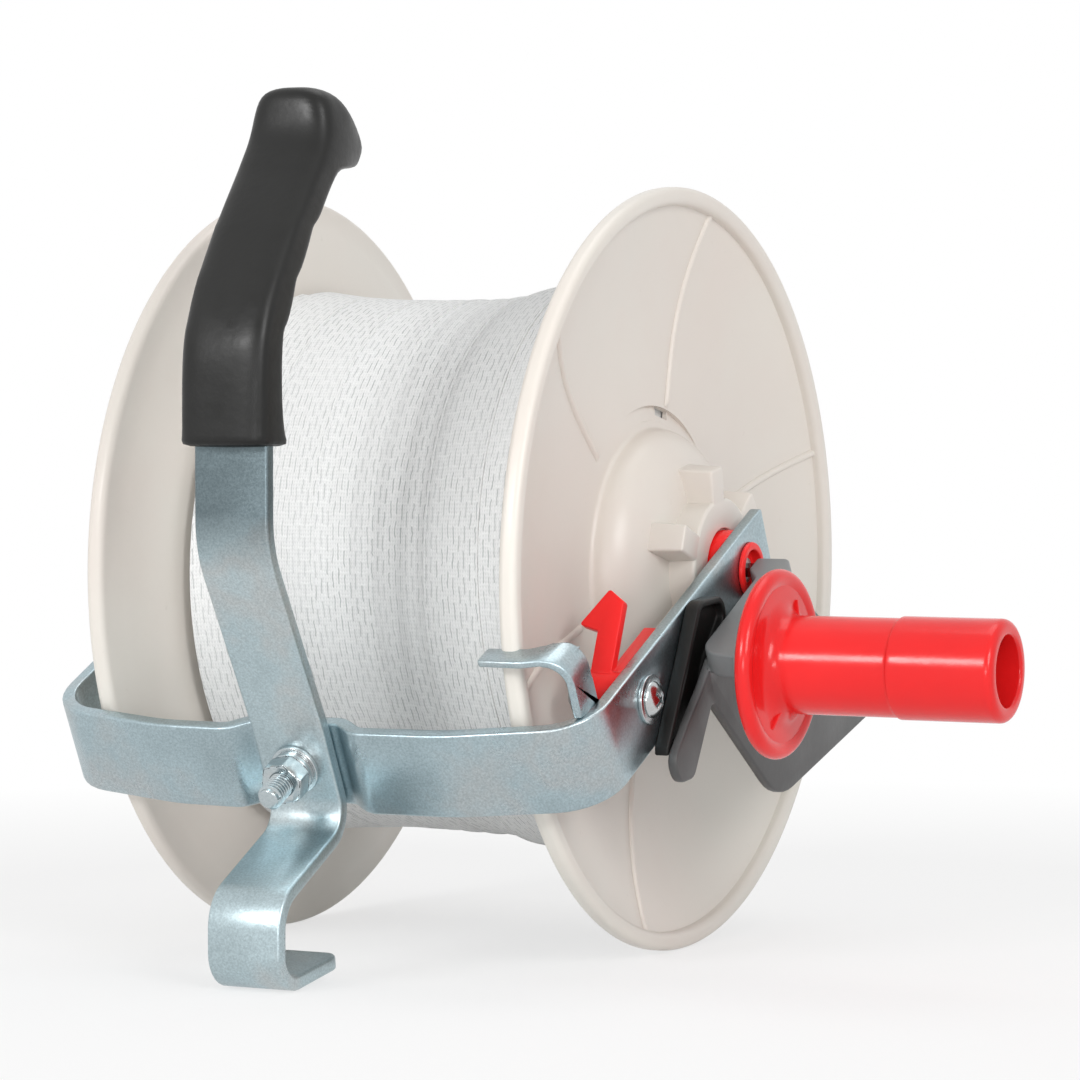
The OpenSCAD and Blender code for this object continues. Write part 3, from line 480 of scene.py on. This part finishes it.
# Outline points are (X, radius) in metres from the centre
def spunPiece(name, outline, centre, steps=192):
    clearSelection()
    bpy.ops.mesh.primitive_circle_add(vertices=len(outline), radius=0.01)
    piece = bpy.context.object
    piece.name = name
    piece.data.name = name
    for vertex, (x, radius) in zip(piece.data.vertices, outline):
        vertex.co = centre + Vector((x, 0, radius))
    makeActive(piece)
    bpy.ops.object.mode_set(mode="EDIT")
    bpy.ops.mesh.select_all(action="SELECT")
    bpy.ops.mesh.spin(steps=steps, angle=2 * math.pi, center=centre, axis=(1, 0, 0))
    bpy.ops.object.mode_set(mode="OBJECT")
    mergeDoubles(piece, 1e-6)
    return piece


# Points of a rounded corner from one heading to another, in degrees
def corner(x, radius, round, fromAngle, toAngle, points=6):
    angles = [math.radians(fromAngle + (toAngle - fromAngle) * step / (points - 1)) for step in range(points)]
    return [(x + round * math.sin(angle), radius + round * math.cos(angle)) for angle in angles]


flangeShape = {
    "rim": 125.0, "halfWidth": 76.7, "flatX": 63.3, "wall": 3.0, "flatRadius": 70.0, "beadWidth": 6.0,
    "beadDepth": 6.4, "beadRound": 2.4, "flare": 10.0, "domeRadius": 46.0, "domeHeight": 17.5, "domeFoot": 1.6,
    "bossRadius": 23.5, "bossRound": 1.2, "bore": 4.02, "recessRadius": 13.6, "recessDepth": 1.8,
    "rightBossX": 89.8, "leftBossX": 87.7,
    "lugs": {"count": 6, "angle": 40.0, "radius": 33.5, "width": 9.6, "draft": 0.93, "edge": 0.9},
    "ribs": {"count": 6, "angle": 78.0, "from": 54.5, "height": 1.0, "halfWidth": 1.05},
    "slot": {"angle": 78.4, "radii": (50.6, 53.4), "width": 9.3},
    "pocket": {"angle": 80.6, "radius": 53.6, "inner": 48.6, "start": 45.0, "tilt": 12.0},
}


def dishX(radius):
    beyond = max(radius - flangeShape["flatRadius"], 0.0)
    return flangeShape["flatX"] + flangeShape["flare"] * (beyond / 50) ** 2


def flangeOutline(bossX):
    shape = flangeShape
    beadFrom = shape["rim"] - shape["beadWidth"]
    rimX, roundness = shape["halfWidth"], shape["beadRound"]
    points = [(bossX - shape["recessDepth"], shape["bore"]), (bossX - shape["recessDepth"], shape["recessRadius"])]
    points += corner(bossX - 0.5, shape["recessRadius"] + 0.5, 0.5, 180, 90, 4)
    points += corner(bossX - shape["bossRound"], shape["bossRadius"] - shape["bossRound"], shape["bossRound"], 90, 0)
    for step in range(21):                          # dome, from the boss down to its foot
        angle = math.radians(79 * (1 - step / 20))
        points.append((shape["flatX"] + shape["domeFoot"] + (shape["domeHeight"] - shape["domeFoot"]) * math.sin(angle),
                       18 + (shape["domeRadius"] - 18) * math.cos(angle)))
    for step in range(1, 6):                        # soft foot onto the flat
        angle = math.radians(90 * step / 5)
        points.append((shape["flatX"] + shape["domeFoot"] * (1 - math.sin(angle)),
                       shape["domeRadius"] + shape["domeFoot"] * (1 - math.cos(angle))))
    points += [(shape["flatX"], shape["flatRadius"])]
    for step in range(1, 17):
        radius = shape["flatRadius"] + (beadFrom - shape["flatRadius"]) * step / 16
        points.append((dishX(radius), radius))
    points += corner(rimX - roundness, beadFrom + roundness, roundness, 180, 90, 7)
    points += corner(rimX - roundness, shape["rim"] - roundness, roundness, 90, 0, 8)[1:]
    points += corner(rimX - shape["beadDepth"] + roundness, shape["rim"] - roundness, roundness, 0, -90, 8)
    for step in range(17):
        radius = beadFrom - 1 - (beadFrom - 1 - shape["flatRadius"]) * step / 16
        points.append((dishX(radius) - shape["wall"], radius))
    points.append((shape["flatX"] - shape["wall"], shape["bore"]))
    return [(x * mm, radius * mm) for x, radius in points]


def turnAbout(piece, degrees):
    around = Matrix.Translation(axlePoint) @ Matrix.Rotation(math.radians(degrees), 4, "X") @ Matrix.Translation(-axlePoint)
    piece.matrix_world = around @ piece.matrix_world
    applyPlace(piece)


# The piece stands above the axle, and its copies go round it, the first at this angle from +Y
def goRound(piece, count, firstAngle):
    copies = [piece]
    for index in range(1, count):
        twin = piece.copy()
        twin.data = piece.data.copy()
        bpy.context.scene.collection.objects.link(twin)
        copies.append(twin)
    for index, twin in enumerate(copies):
        turnAbout(twin, firstAngle - 90 + index * 360 / count)
    return copies


def makeLug(bossX):
    lug = flangeShape["lugs"]
    low, high = flangeShape["flatX"] + 9, bossX - 0.02
    inner = flangeShape["bossRadius"] - 3
    clearSelection()
    bpy.ops.mesh.primitive_cube_add(size=1)
    piece = bpy.context.object
    for vertex in piece.data.vertices:
        atTop = vertex.co.x > 0
        share = lug["draft"] if atTop else 1.06
        reach = lug["radius"] if atTop else lug["radius"] + 1.1
        vertex.co = axlePoint + mm * Vector((high if atTop else low, (1 if vertex.co.y > 0 else -1) * lug["width"] / 2 * share,
                                             reach if vertex.co.z > 0 else inner))
    applyModifier(piece, "BEVEL", width=lug["edge"] * mm, segments=4, limit_method="ANGLE")
    return piece


# A low ridge with a round section and round ends, lying on the dish
def makeRib():
    rib = flangeShape["ribs"]
    piece = gridPiece("rib", 40, 10)
    first, last = rib["from"], flangeShape["rim"] - flangeShape["beadWidth"] + 0.6
    for vertex in piece.data.vertices:
        along, side = vertex.co.x + 0.5, vertex.co.y * 2
        radius = first + (last - first) * along
        end = min(1.0, (radius - first) / 1.6)
        height = rib["height"] * math.sqrt(max(0.0, 1 - side ** 2)) * math.sqrt(max(0.0, 1 - (1 - end) ** 2))
        vertex.co = axlePoint + mm * Vector((dishX(radius) + height - 0.05, side * rib["halfWidth"], radius))
    mergeDoubles(piece, 1e-7)
    applyModifier(piece, "SOLIDIFY", thickness=0.3 * mm, offset=-1)
    return piece


# Cuts the crescent-shaped pocket where the tape's end is tucked in, and the slot at its foot
def cutTapeAnchor(piece):
    pocket, slot = flangeShape["pocket"], flangeShape["slot"]
    face = axlePoint + Vector((flangeShape["flatX"] * mm, 0, 0))
    turned = (0, math.radians(90), 0)
    clearSelection()
    bpy.ops.mesh.primitive_cylinder_add(vertices=160, radius=pocket["radius"] * mm, depth=12 * mm, location=face,
                                        rotation=turned)
    cutter = bpy.context.object
    applyPlace(cutter)
    clearSelection()
    bpy.ops.mesh.primitive_cylinder_add(vertices=160, radius=pocket["inner"] * mm, depth=30 * mm, location=face,
                                        rotation=turned)
    middle = bpy.context.object
    applyPlace(middle)
    cutAway(cutter, middle)
    angle, tilt = math.radians(pocket["angle"]), math.radians(pocket["tilt"])
    outward = Vector((0, math.cos(angle), math.sin(angle)))
    normal = Vector((math.cos(tilt), 0, 0)) + outward * math.sin(tilt)
    makeActive(cutter)
    bpy.ops.object.mode_set(mode="EDIT")
    bpy.ops.mesh.select_all(action="SELECT")
    bpy.ops.mesh.bisect(plane_co=face + outward * pocket["start"] * mm, plane_no=normal, use_fill=True,
                        clear_inner=True, clear_outer=False)
    bpy.ops.object.mode_set(mode="OBJECT")
    mergeDoubles(cutter, 1e-7)
    cutAway(piece, cutter)
    clearSelection()
    near, far = slot["radii"]
    bpy.ops.mesh.primitive_cube_add(size=1, location=axlePoint + Vector((flangeShape["flatX"] * mm, 0, (near + far) / 2 * mm)),
                                    scale=(14 * mm, slot["width"] * mm, (far - near) * mm))
    cutter = bpy.context.object
    applyPlace(cutter)
    turnAbout(cutter, slot["angle"] - 90)
    cutAway(piece, cutter)


def makeFlange(name, bossX, mirrored, lugs, node):
    body = spunPiece(name, flangeOutline(bossX), axlePoint)
    cutTapeAnchor(body)
    parts = [body]
    if lugs:
        parts += goRound(makeLug(bossX), flangeShape["lugs"]["count"], flangeShape["lugs"]["angle"])
    parts += goRound(makeRib(), flangeShape["ribs"]["count"], flangeShape["ribs"]["angle"])
    piece = joinPieces(name, parts)
    if mirrored:
        for vertex in piece.data.vertices:
            vertex.co.x = 2 * axlePoint.x - vertex.co.x
        makeActive(piece)
        bpy.ops.object.mode_set(mode="EDIT")
        bpy.ops.mesh.select_all(action="SELECT")
        bpy.ops.mesh.flip_normals()
        bpy.ops.object.mode_set(mode="OBJECT")
    smoothByAngle(piece, 32)
    paint(piece, cream)
    place(piece, "drum", "cream_plastic", node)
    print(name, "made,", len(piece.data.polygons), "faces")


def gridPiece(name, columns, rows):
    clearSelection()
    bpy.ops.mesh.primitive_grid_add(x_subdivisions=columns, y_subdivisions=rows, size=1)
    piece = bpy.context.object
    piece.name = name
    piece.data.name = name
    return piece


makeFlange("flangeRight", flangeShape["rightBossX"], False, True, "flange_right")
makeFlange("flangeLeft", flangeShape["leftBossX"], True, False, "flange_left")


knobShape = {
    "centre": Vector(joints["knob_spin"]["pos_m"]), "length": 78.5, "bore": 11.0, "tube": 15.3, "flange": 29.6,
    "flangeThick": 5.6, "rimRound": 2.7, "dish": 0.8, "step": 44.0, "end": 15.9, "pinBore": 4.04, "floor": 6.0,
    "lip": 2.6, "ribs": {"count": 2, "halfWidth": 0.5, "reach": 21.8, "along": 7.6},
}


# The grip of the crank: a tube with a rounded flange, a small step and a soft lip at its end
def makeKnob():
    shape = knobShape
    start = shape["centre"].copy()
    inner, round = shape["flange"] - shape["rimRound"], shape["rimRound"]
    points = [(0, shape["pinBore"])]
    points += corner(round, inner, round, -90, 90, 15)
    points += [(shape["flangeThick"] - 0.3, shape["flange"] - 4.0), (shape["flangeThick"] - 1.0, shape["flange"] - 5.2),
               (shape["flangeThick"] - shape["dish"], shape["flange"] - 6.4)]
    for step in range(9):                           # fillet from the flange into the tube
        angle = math.radians(90 * step / 8)
        points.append((shape["flangeThick"] - shape["dish"] + 5.2 * (1 - math.cos(angle)),
                       shape["tube"] + 5.2 * (1 - math.sin(angle))))
    points += [(shape["flangeThick"] + 5.4, shape["tube"]), (shape["step"] - 0.8, shape["tube"]),
               (shape["step"], shape["tube"])]
    points += corner(shape["step"] + 0.7, shape["end"] - 0.4, 0.4, -90, 0, 4)
    points += [(shape["step"] + 2.2, shape["end"]), (shape["length"] - shape["lip"] - 1.0, shape["end"])]
    points += corner(shape["length"] - shape["lip"], shape["end"] - shape["lip"], shape["lip"], 0, 90, 8)
    points += corner(shape["length"] - 1.0, shape["bore"] + 1.0, 1.0, 90, 180, 6)
    points += [(shape["floor"], shape["bore"]), (shape["floor"], shape["pinBore"])]
    body = spunPiece("knobMoulding", [(x * mm, radius * mm) for x, radius in points], start, 160)
    parts = [body]
    for index in range(shape["ribs"]["count"]):
        clearSelection()
        bpy.ops.mesh.primitive_cube_add(size=1)
        rib = bpy.context.object
        low = shape["flangeThick"] - shape["dish"] - 1
        for vertex in rib.data.vertices:
            outer = vertex.co.z > 0
            far = vertex.co.x > 0
            x = (low + 1.5 if outer else shape["ribs"]["along"]) if far else low
            radius = shape["ribs"]["reach"] if outer else shape["tube"] - 1
            vertex.co = start + mm * Vector((x, (1 if vertex.co.y > 0 else -1) * shape["ribs"]["halfWidth"], radius))
        applyModifier(rib, "BEVEL", width=0.35 * mm, segments=3, limit_method="ANGLE")
        turn = Matrix.Rotation(math.radians(index * 180 - 25.9), 4, "X")
        rib.matrix_world = Matrix.Translation(start) @ turn @ Matrix.Translation(-start)
        applyPlace(rib)
        parts.append(rib)
    piece = joinPieces("knobMoulding", parts)
    smoothByAngle(piece, 35)
    paint(piece, redGloss)
    place(piece, "knob", "red_gloss", "knob")


makeKnob()
print("knob made")


# ---- handle bolt with its thread, and the spring washer turned so that its cut is underneath

handleBolt = {
    "middle": Vector((-51.9, -97.557, 67.189)) * mm, "radius": 4.0 * mm, "root": 3.3 * mm, "pitch": 1.25 * mm,
    "acrossFlats": 13.0 * mm, "headFrom": -6.75 * mm, "headHeight": 5.3 * mm, "tip": 21.9 * mm,
    "threadFrom": 11.0 * mm, "threadTurns": 8, "washerTurn": 150.0,
}
boltAxis = Vector((0, -math.cos(armSlope), -math.sin(armSlope)))
boltTurn = boltAxis.to_track_quat("Z", "Y").to_matrix().to_4x4()
boltPlace = Matrix.Translation(handleBolt["middle"]) @ boltTurn


def makeHandleBolt():
    clearSelection()
    corner = handleBolt["acrossFlats"] / 2 / math.cos(math.radians(30))
    bpy.ops.mesh.primitive_cylinder_add(vertices=6, radius=corner, depth=handleBolt["headHeight"],
                                        location=(0, 0, handleBolt["headFrom"] - handleBolt["headHeight"] / 2))
    head = bpy.context.object
    applyPlace(head)
    applyModifier(head, "BEVEL", width=0.5 * mm, segments=3, limit_method="ANGLE")
    shankFrom = handleBolt["headFrom"] - 1 * mm
    length = handleBolt["tip"] - shankFrom
    bpy.ops.mesh.primitive_cylinder_add(vertices=64, radius=handleBolt["root"], depth=length,
                                        location=(0, 0, shankFrom + length / 2))
    shank = bpy.context.object
    applyPlace(shank)
    applyModifier(shank, "BEVEL", width=0.6 * mm, segments=3, limit_method="ANGLE")
    bpy.ops.mesh.primitive_plane_add(size=1)
    ridge = bpy.context.object
    corners = [(handleBolt["root"] - 0.15 * mm, -0.52 * mm), (handleBolt["radius"], -0.10 * mm),
               (handleBolt["radius"], 0.10 * mm), (handleBolt["root"] - 0.15 * mm, 0.52 * mm)]
    for index, order in zip((0, 1, 3, 2), corners):
        ridge.data.vertices[index].co = Vector((order[0], 0, handleBolt["threadFrom"] + order[1]))
    makeActive(ridge)
    bpy.ops.object.mode_set(mode="EDIT")
    bpy.ops.mesh.select_all(action="SELECT")
    bpy.ops.mesh.delete(type="ONLY_FACE")
    bpy.ops.object.mode_set(mode="OBJECT")
    applyModifier(ridge, "SCREW", axis="Z", angle=2 * math.pi, screw_offset=handleBolt["pitch"], steps=48,
                  render_steps=48, iterations=handleBolt["threadTurns"], use_merge_vertices=True)
    makeActive(ridge)
    bpy.ops.object.mode_set(mode="EDIT")
    bpy.ops.mesh.select_all(action="SELECT")
    bpy.ops.mesh.remove_doubles(threshold=1e-6)
    bpy.ops.mesh.fill_holes(sides=4)
    bpy.ops.mesh.select_all(action="SELECT")
    bpy.ops.mesh.normals_make_consistent(inside=False)
    bpy.ops.object.mode_set(mode="OBJECT")
    piece = joinPieces("handleBolt", [head, shank, ridge])
    piece.matrix_world = boltPlace
    applyPlace(piece)
    smoothByAngle(piece, 35)
    paint(piece, zincBright)
    place(piece, "frame", "zinc_fastener", "handle_bolt")


def turnSpringWasher():
    piece = roundedCopy("spring_washer", "springWasher", 0.25 * mm)
    turn = Matrix.Rotation(math.radians(handleBolt["washerTurn"]), 4, "Z")
    piece.matrix_world = boltPlace @ turn @ boltPlace.inverted() @ piece.matrix_world
    applyPlace(piece)
    paint(piece, zincBright)
    place(piece, "frame", "zinc_fastener", "spring_washer")


makeHandleBolt()
turnSpringWasher()
print("bolt made")


# ---- wound tape

winding = {
    "waistRadius": 89.5 * mm, "flare": 7.5 * mm, "flarePower": 2.6, "waistX": -8.0 * mm, "halfWidth": 60.0 * mm,
    "tapeWidth": 20.9 * mm, "pitch": 20.6 * mm, "thickness": 0.45 * mm, "lap": 0.22 * mm,
    "startAngle": 100.0, "stepsPerTurn": 240, "across": 24, "innerDrop": 0.62 * mm,
    "stepFrom": 23.0 * mm, "stepWidth": 10.0 * mm, "stepHeight": 2.4 * mm, "ridge": 0.22 * mm, "ridgePitch": 8.7 * mm, "ridgeMiddle": 16.0 * mm, "ridgeSpread": 24.0 * mm,
}


def windingRadius(x):
    reach = winding["halfWidth"] + abs(winding["waistX"])
    share = min(abs(x - winding["waistX"]), reach) / reach
    rise = min(max((x - winding["stepFrom"]) / winding["stepWidth"], 0.0), 1.0)
    rise = rise * rise * (3 - 2 * rise) * (winding["stepHeight"] / winding["flare"])
    return winding["waistRadius"] + winding["flare"] * (share ** winding["flarePower"] * (1 - rise) + rise)


def woundPoint(x, angle, radius):
    return axlePoint + Vector((x, radius * math.cos(angle), radius * math.sin(angle)))


# Slack in the winding: slow waves, and soft ridges round the drum right of its waist
def slack(x, angle):
    waves = 0.20 * mm * math.sin(3 * angle + x * 70) + 0.10 * mm * math.sin(7 * angle - x * 160 + 1.3)
    near = math.exp(-((x - winding["ridgeMiddle"]) / winding["ridgeSpread"]) ** 2)
    ridges = math.sin(2 * math.pi * x / winding["ridgePitch"] + 0.9 * math.sin(angle + 0.4))
    return waves + winding["ridge"] * near * ridges


# Wraps a flat grid round the drum: its length follows the angle and its width lies along the axle
def makeTapeTurns():
    half = winding["tapeWidth"] / 2
    first = -winding["halfWidth"] + 0.3 * mm + half
    turns = (2 * winding["halfWidth"] - 0.6 * mm - winding["tapeWidth"]) / winding["pitch"]
    steps = round(turns * winding["stepsPerTurn"])
    piece = gridPiece("tapeTurns", steps, winding["across"])
    uvLayer = piece.data.uv_layers.new(name="tape")
    uvOfVertex = []
    for vertex in piece.data.vertices:
        share, side = vertex.co.x + 0.5, vertex.co.y * 2
        turn = share * turns
        angle = math.radians(winding["startAngle"]) + turn * 2 * math.pi
        middle = first + winding["pitch"] * turn
        x = middle + side * half
        radius = windingRadius(x) - winding["thickness"] + winding["lap"] * (side * 0.5 + 0.5) + slack(x, angle)
        uvOfVertex.append((turn * 2 * math.pi * winding["waistRadius"], side * half + half))
        vertex.co = woundPoint(x, angle, radius)
    for loop in piece.data.loops:
        uvLayer.data[loop.index].uv = uvOfVertex[loop.vertex_index]
    for spare in [layer for layer in piece.data.uv_layers if layer.name != "tape"]:
        piece.data.uv_layers.remove(spare)
    makeActive(piece)
    bpy.ops.object.mode_set(mode="EDIT")
    bpy.ops.mesh.select_all(action="SELECT")
    bpy.ops.mesh.normals_make_consistent(inside=False)
    bpy.ops.object.mode_set(mode="OBJECT")
    middleFace = piece.data.polygons[len(piece.data.polygons) // 2]
    outward = middleFace.center - axlePoint
    outward.x = 0
    if middleFace.normal.dot(outward) < 0:
        makeActive(piece)
        bpy.ops.object.mode_set(mode="EDIT")
        bpy.ops.mesh.select_all(action="SELECT")
        bpy.ops.mesh.flip_normals()
        bpy.ops.object.mode_set(mode="OBJECT")
    applyModifier(piece, "SOLIDIFY", thickness=winding["thickness"], offset=-1)
    smoothByAngle(piece, 50)
    paint(piece, tapeCloth)
    place(piece, "drum", "tape", "tape_winding")


# The layers below, which show beside the flanges and between the turns
def makeTapeBelow():
    columns, rows = 240, 60
    piece = gridPiece("tapeBelow", columns, rows)
    uvLayer = piece.data.uv_layers.new(name="tape")
    reach = winding["halfWidth"] - 0.15 * mm
    uvOfVertex = []
    for vertex in piece.data.vertices:
        share, side = vertex.co.x + 0.5, vertex.co.y * 2
        angle = share * 2 * math.pi
        x = side * reach
        radius = windingRadius(x) - winding["innerDrop"] + slack(x, angle)
        if abs(side) > 0.9999:
            radius = 48.2 * mm
        uvOfVertex.append((angle * winding["waistRadius"], (x + 0.06) - angle / (2 * math.pi) * winding["tapeWidth"]))
        vertex.co = woundPoint(x, angle, radius)
    for loop in piece.data.loops:
        uvLayer.data[loop.index].uv = uvOfVertex[loop.vertex_index]
    for spare in [layer for layer in piece.data.uv_layers if layer.name != "tape"]:
        piece.data.uv_layers.remove(spare)
    mergeDoubles(piece, 2e-6)
    smoothByAngle(piece, 50)
    paint(piece, tapeCloth)
    place(piece, "drum", "tape", "tape_core")


makeTapeTurns()
makeTapeBelow()
print("tape wound")


# ---- hand grip

gripShape = {
    "middleX": axlePoint.x - 1.5 * mm, "halfWidth": 15.0 * mm, "sides": 44,
    # height, front, back, share of the width, squareness in front and behind, in millimetres from the axle
    "stations": [
        (40.8, -168.0, -147.0, 1.04, .50, .50), (43.0, -168.1, -148.2, 1.02, .50, .50),
        (46, -168.0, -149.2, 1.00, .50, .50), (51, -167.9, -150.3, 1.00, .50, .50),
        (57, -167.8, -150.8, 1.00, .50, .50), (63, -167.6, -151.0, 1.00, .50, .50),
        (68, -167.3, -150.8, 1.00, .50, .50), (73, -166.5, -150.4, 1.00, .50, .50),
        (76.5, -165.5, -150.0, 1.00, .50, .50), (78.5, -164.9, -147.2, 1.00, .50, .50),
        (84, -163.0, -144.4, 1.00, .50, .50), (89, -160.4, -142.9, 1.00, .50, .50),
        (92.5, -158.4, -142.1, 1.00, .50, .50), (94.5, -157.3, -138.8, 1.00, .50, .50),
        (102, -152.5, -134.6, 1.00, .50, .50), (107, -149.2, -132.2, 1.00, .51, .51),
        (108.6, -148.1, -131.4, 1.00, .51, .51), (110.4, -146.8, -128.0, 1.00, .52, .52),
        (114, -144.2, -125.2, 1.00, .52, .52), (119, -140.4, -121.5, 1.00, .52, .55),
        (124, -136.6, -117.2, 1.00, .52, .56), (126.7, -134.7, -112.5, 1.00, .52, .62),
        (127.6, -134.1, -97.5, 1.00, .52, .85), (128.7, -133.3, -92.3, 1.00, .52, .95),
        (131.2, -131.5, -89.8, 1.00, .52, 1.0), (134.2, -129.6, -87.6, 0.99, .52, 1.0),
        (138.0, -128.0, -91.6, 0.97, .52, .95), (142, -127.2, -96.8, 0.94, .52, .90),
        (146.0, -126.9, -103.2, 0.88, .54, .85), (149.0, -126.5, -109.8, 0.78, .60, .80),
        (150.9, -125.3, -115.0, 0.60, .75, .85), (151.8, -123.4, -118.4, 0.30, 1.0, 1.0),
    ],
}


def squareness(value, power):
    return math.copysign(abs(value) ** power, value)


def gripRing(station):
    height, front, back, share, inFront, behind = station
    ring = []
    for index in range(gripShape["sides"]):
        angle = 2 * math.pi * index / gripShape["sides"]
        power = behind if math.sin(angle) > 0 else inFront
        half = (back - front) / 2
        seam = front + min(half, 10.0)               # where the front half of the section meets the back half
        reach = (back - seam) if math.sin(angle) > 0 else (seam - front)
        x = gripShape["middleX"] + gripShape["halfWidth"] * share * squareness(math.cos(angle), power)
        y = axlePoint.y + mm * (seam + reach * squareness(math.sin(angle), power))
        ring.append(Vector((x, y, axlePoint.z + mm * height)))
    return ring


# Rings extruded one above the other up the handle
def makeGrip():
    clearSelection()
    bpy.ops.mesh.primitive_circle_add(vertices=gripShape["sides"], radius=0.01, fill_type="NGON")
    piece = bpy.context.object
    piece.name = "gripMoulding"
    stations = gripShape["stations"]
    for vertex, point in zip(piece.data.vertices, gripRing(stations[0])):
        vertex.co = point
    for station in stations[1:]:
        before = len(piece.data.vertices)
        bpy.ops.object.mode_set(mode="EDIT")
        bpy.ops.mesh.extrude_region_move(TRANSFORM_OT_translate={"value": (0, 0, 0.001)})
        bpy.ops.object.mode_set(mode="OBJECT")
        ring = gripRing(station)
        for index, point in enumerate(ring):
            piece.data.vertices[before + index].co = point
    mergeDoubles(piece, 1e-7)
    applyModifier(piece, "SUBSURF", levels=1, render_levels=1)
    smoothByAngle(piece, 60)
    paint(piece, gripRubber)
    place(piece, "frame", "grip_black", "grip")


makeGrip()
print("grip made")


# ---- floor, light and camera

floorTone = {"near": 0.30, "far": 0.62, "shadowShare": 0.34, "grey": 0.90}


# White to the camera further out, and near the reel light enough to keep its shadow
def makeFloor():
    clearSelection()
    bpy.ops.mesh.primitive_plane_add(size=12, location=(0, 0, -0.0002))
    floor = bpy.context.object
    floor.name = "floor"
    material, tree, shader = newMaterial("paleFloor", Roughness=0.9)
    shader.inputs["Base Color"].default_value = (floorTone["grey"], floorTone["grey"], floorTone["grey"], 1)
    shader.inputs["Specular IOR Level"].default_value = 0.1
    glow = addNode(tree, "ShaderNodeEmission", {"Color": (1, 1, 1, 1), "Strength": 1.0})
    ray = addNode(tree, "ShaderNodeLightPath")
    seen = math2(tree, "MAXIMUM", math2(tree, "MAXIMUM", ray.outputs["Is Camera Ray"], ray.outputs["Is Glossy Ray"]),
                 ray.outputs["Is Transmission Ray"])
    away = addNode(tree, "ShaderNodeVectorMath", {0: objectPoint(tree)}, operation="LENGTH").outputs["Value"]
    white = rescale(tree, away, floorTone["near"], floorTone["far"], 1 - floorTone["shadowShare"], 1.0)
    blend = addNode(tree, "ShaderNodeMixShader", {0: math2(tree, "MULTIPLY", seen, white)})
    tree.links.new(shader.outputs[0], blend.inputs[1])
    tree.links.new(glow.outputs[0], blend.inputs[2])
    tree.links.new(blend.outputs[0], tree.nodes["Material Output"].inputs["Surface"])
    floor.data.materials.append(material)


studio = {
    "ambient": 0.47,
    "lamps": [
        {"name": "keyLamp", "from": (-0.62, -2.14, 0.92), "size": 0.85, "height": 0.40, "watts": 20},
        {"name": "rightLamp", "from": (1.9, -1.3, 1.1), "size": 0.9, "height": 0.9, "watts": 22},
        {"name": "topLamp", "from": (0.1, 0.5, 2.1), "size": 1.3, "height": 1.3, "watts": 8},
        {"name": "lowLamp", "from": (0.9, -2.3, 0.22), "size": 1.0, "height": 0.3, "watts": 8},
    ],
}


def makeLight():
    world = bpy.data.worlds.new("studio")
    bpy.context.scene.world = world
    world.use_nodes = True
    tree = world.node_tree
    background = tree.nodes["Background"]
    background.inputs["Color"].default_value = (1, 1, 1, 1)
    ray = addNode(tree, "ShaderNodeLightPath")
    seen = math2(tree, "MAXIMUM", math2(tree, "MAXIMUM", ray.outputs["Is Camera Ray"], ray.outputs["Is Glossy Ray"]),
                 ray.outputs["Is Transmission Ray"])
    tree.links.new(rescale(tree, seen, 0.0, 1.0, studio["ambient"], 1.0), background.inputs["Strength"])
    target = Vector((0, 0, 0.13))
    for lamp in studio["lamps"]:
        data = bpy.data.lights.new(lamp["name"], "AREA")
        data.shape = "RECTANGLE"
        data.size = lamp["size"]
        data.size_y = lamp["height"]
        data.energy = lamp["watts"]
        item = bpy.data.objects.new(lamp["name"], data)
        item.location = lamp["from"]
        item.rotation_euler = (target - Vector(lamp["from"])).to_track_quat("-Z", "Y").to_euler()
        bpy.context.scene.collection.objects.link(item)


cameraView = {"place": (0.5747, -1.1806, 0.17823), "aim": (-0.02566, 0.01676, 0.13388), "lens": 134.22}


def makeCamera():
    data = bpy.data.cameras.new("photoCamera")
    data.lens = cameraView["lens"]
    data.sensor_width = 36
    data.clip_start = 0.01
    camera = bpy.data.objects.new("photoCamera", data)
    camera.location = cameraView["place"]
    aim = Vector(cameraView["aim"]) - Vector(cameraView["place"])
    camera.rotation_euler = aim.to_track_quat("-Z", "Y").to_euler()
    bpy.context.scene.collection.objects.link(camera)
    bpy.context.scene.camera = camera


makeFloor()
makeLight()
makeCamera()
bpy.context.scene.view_settings.view_transform = "Standard"
print("stage set")
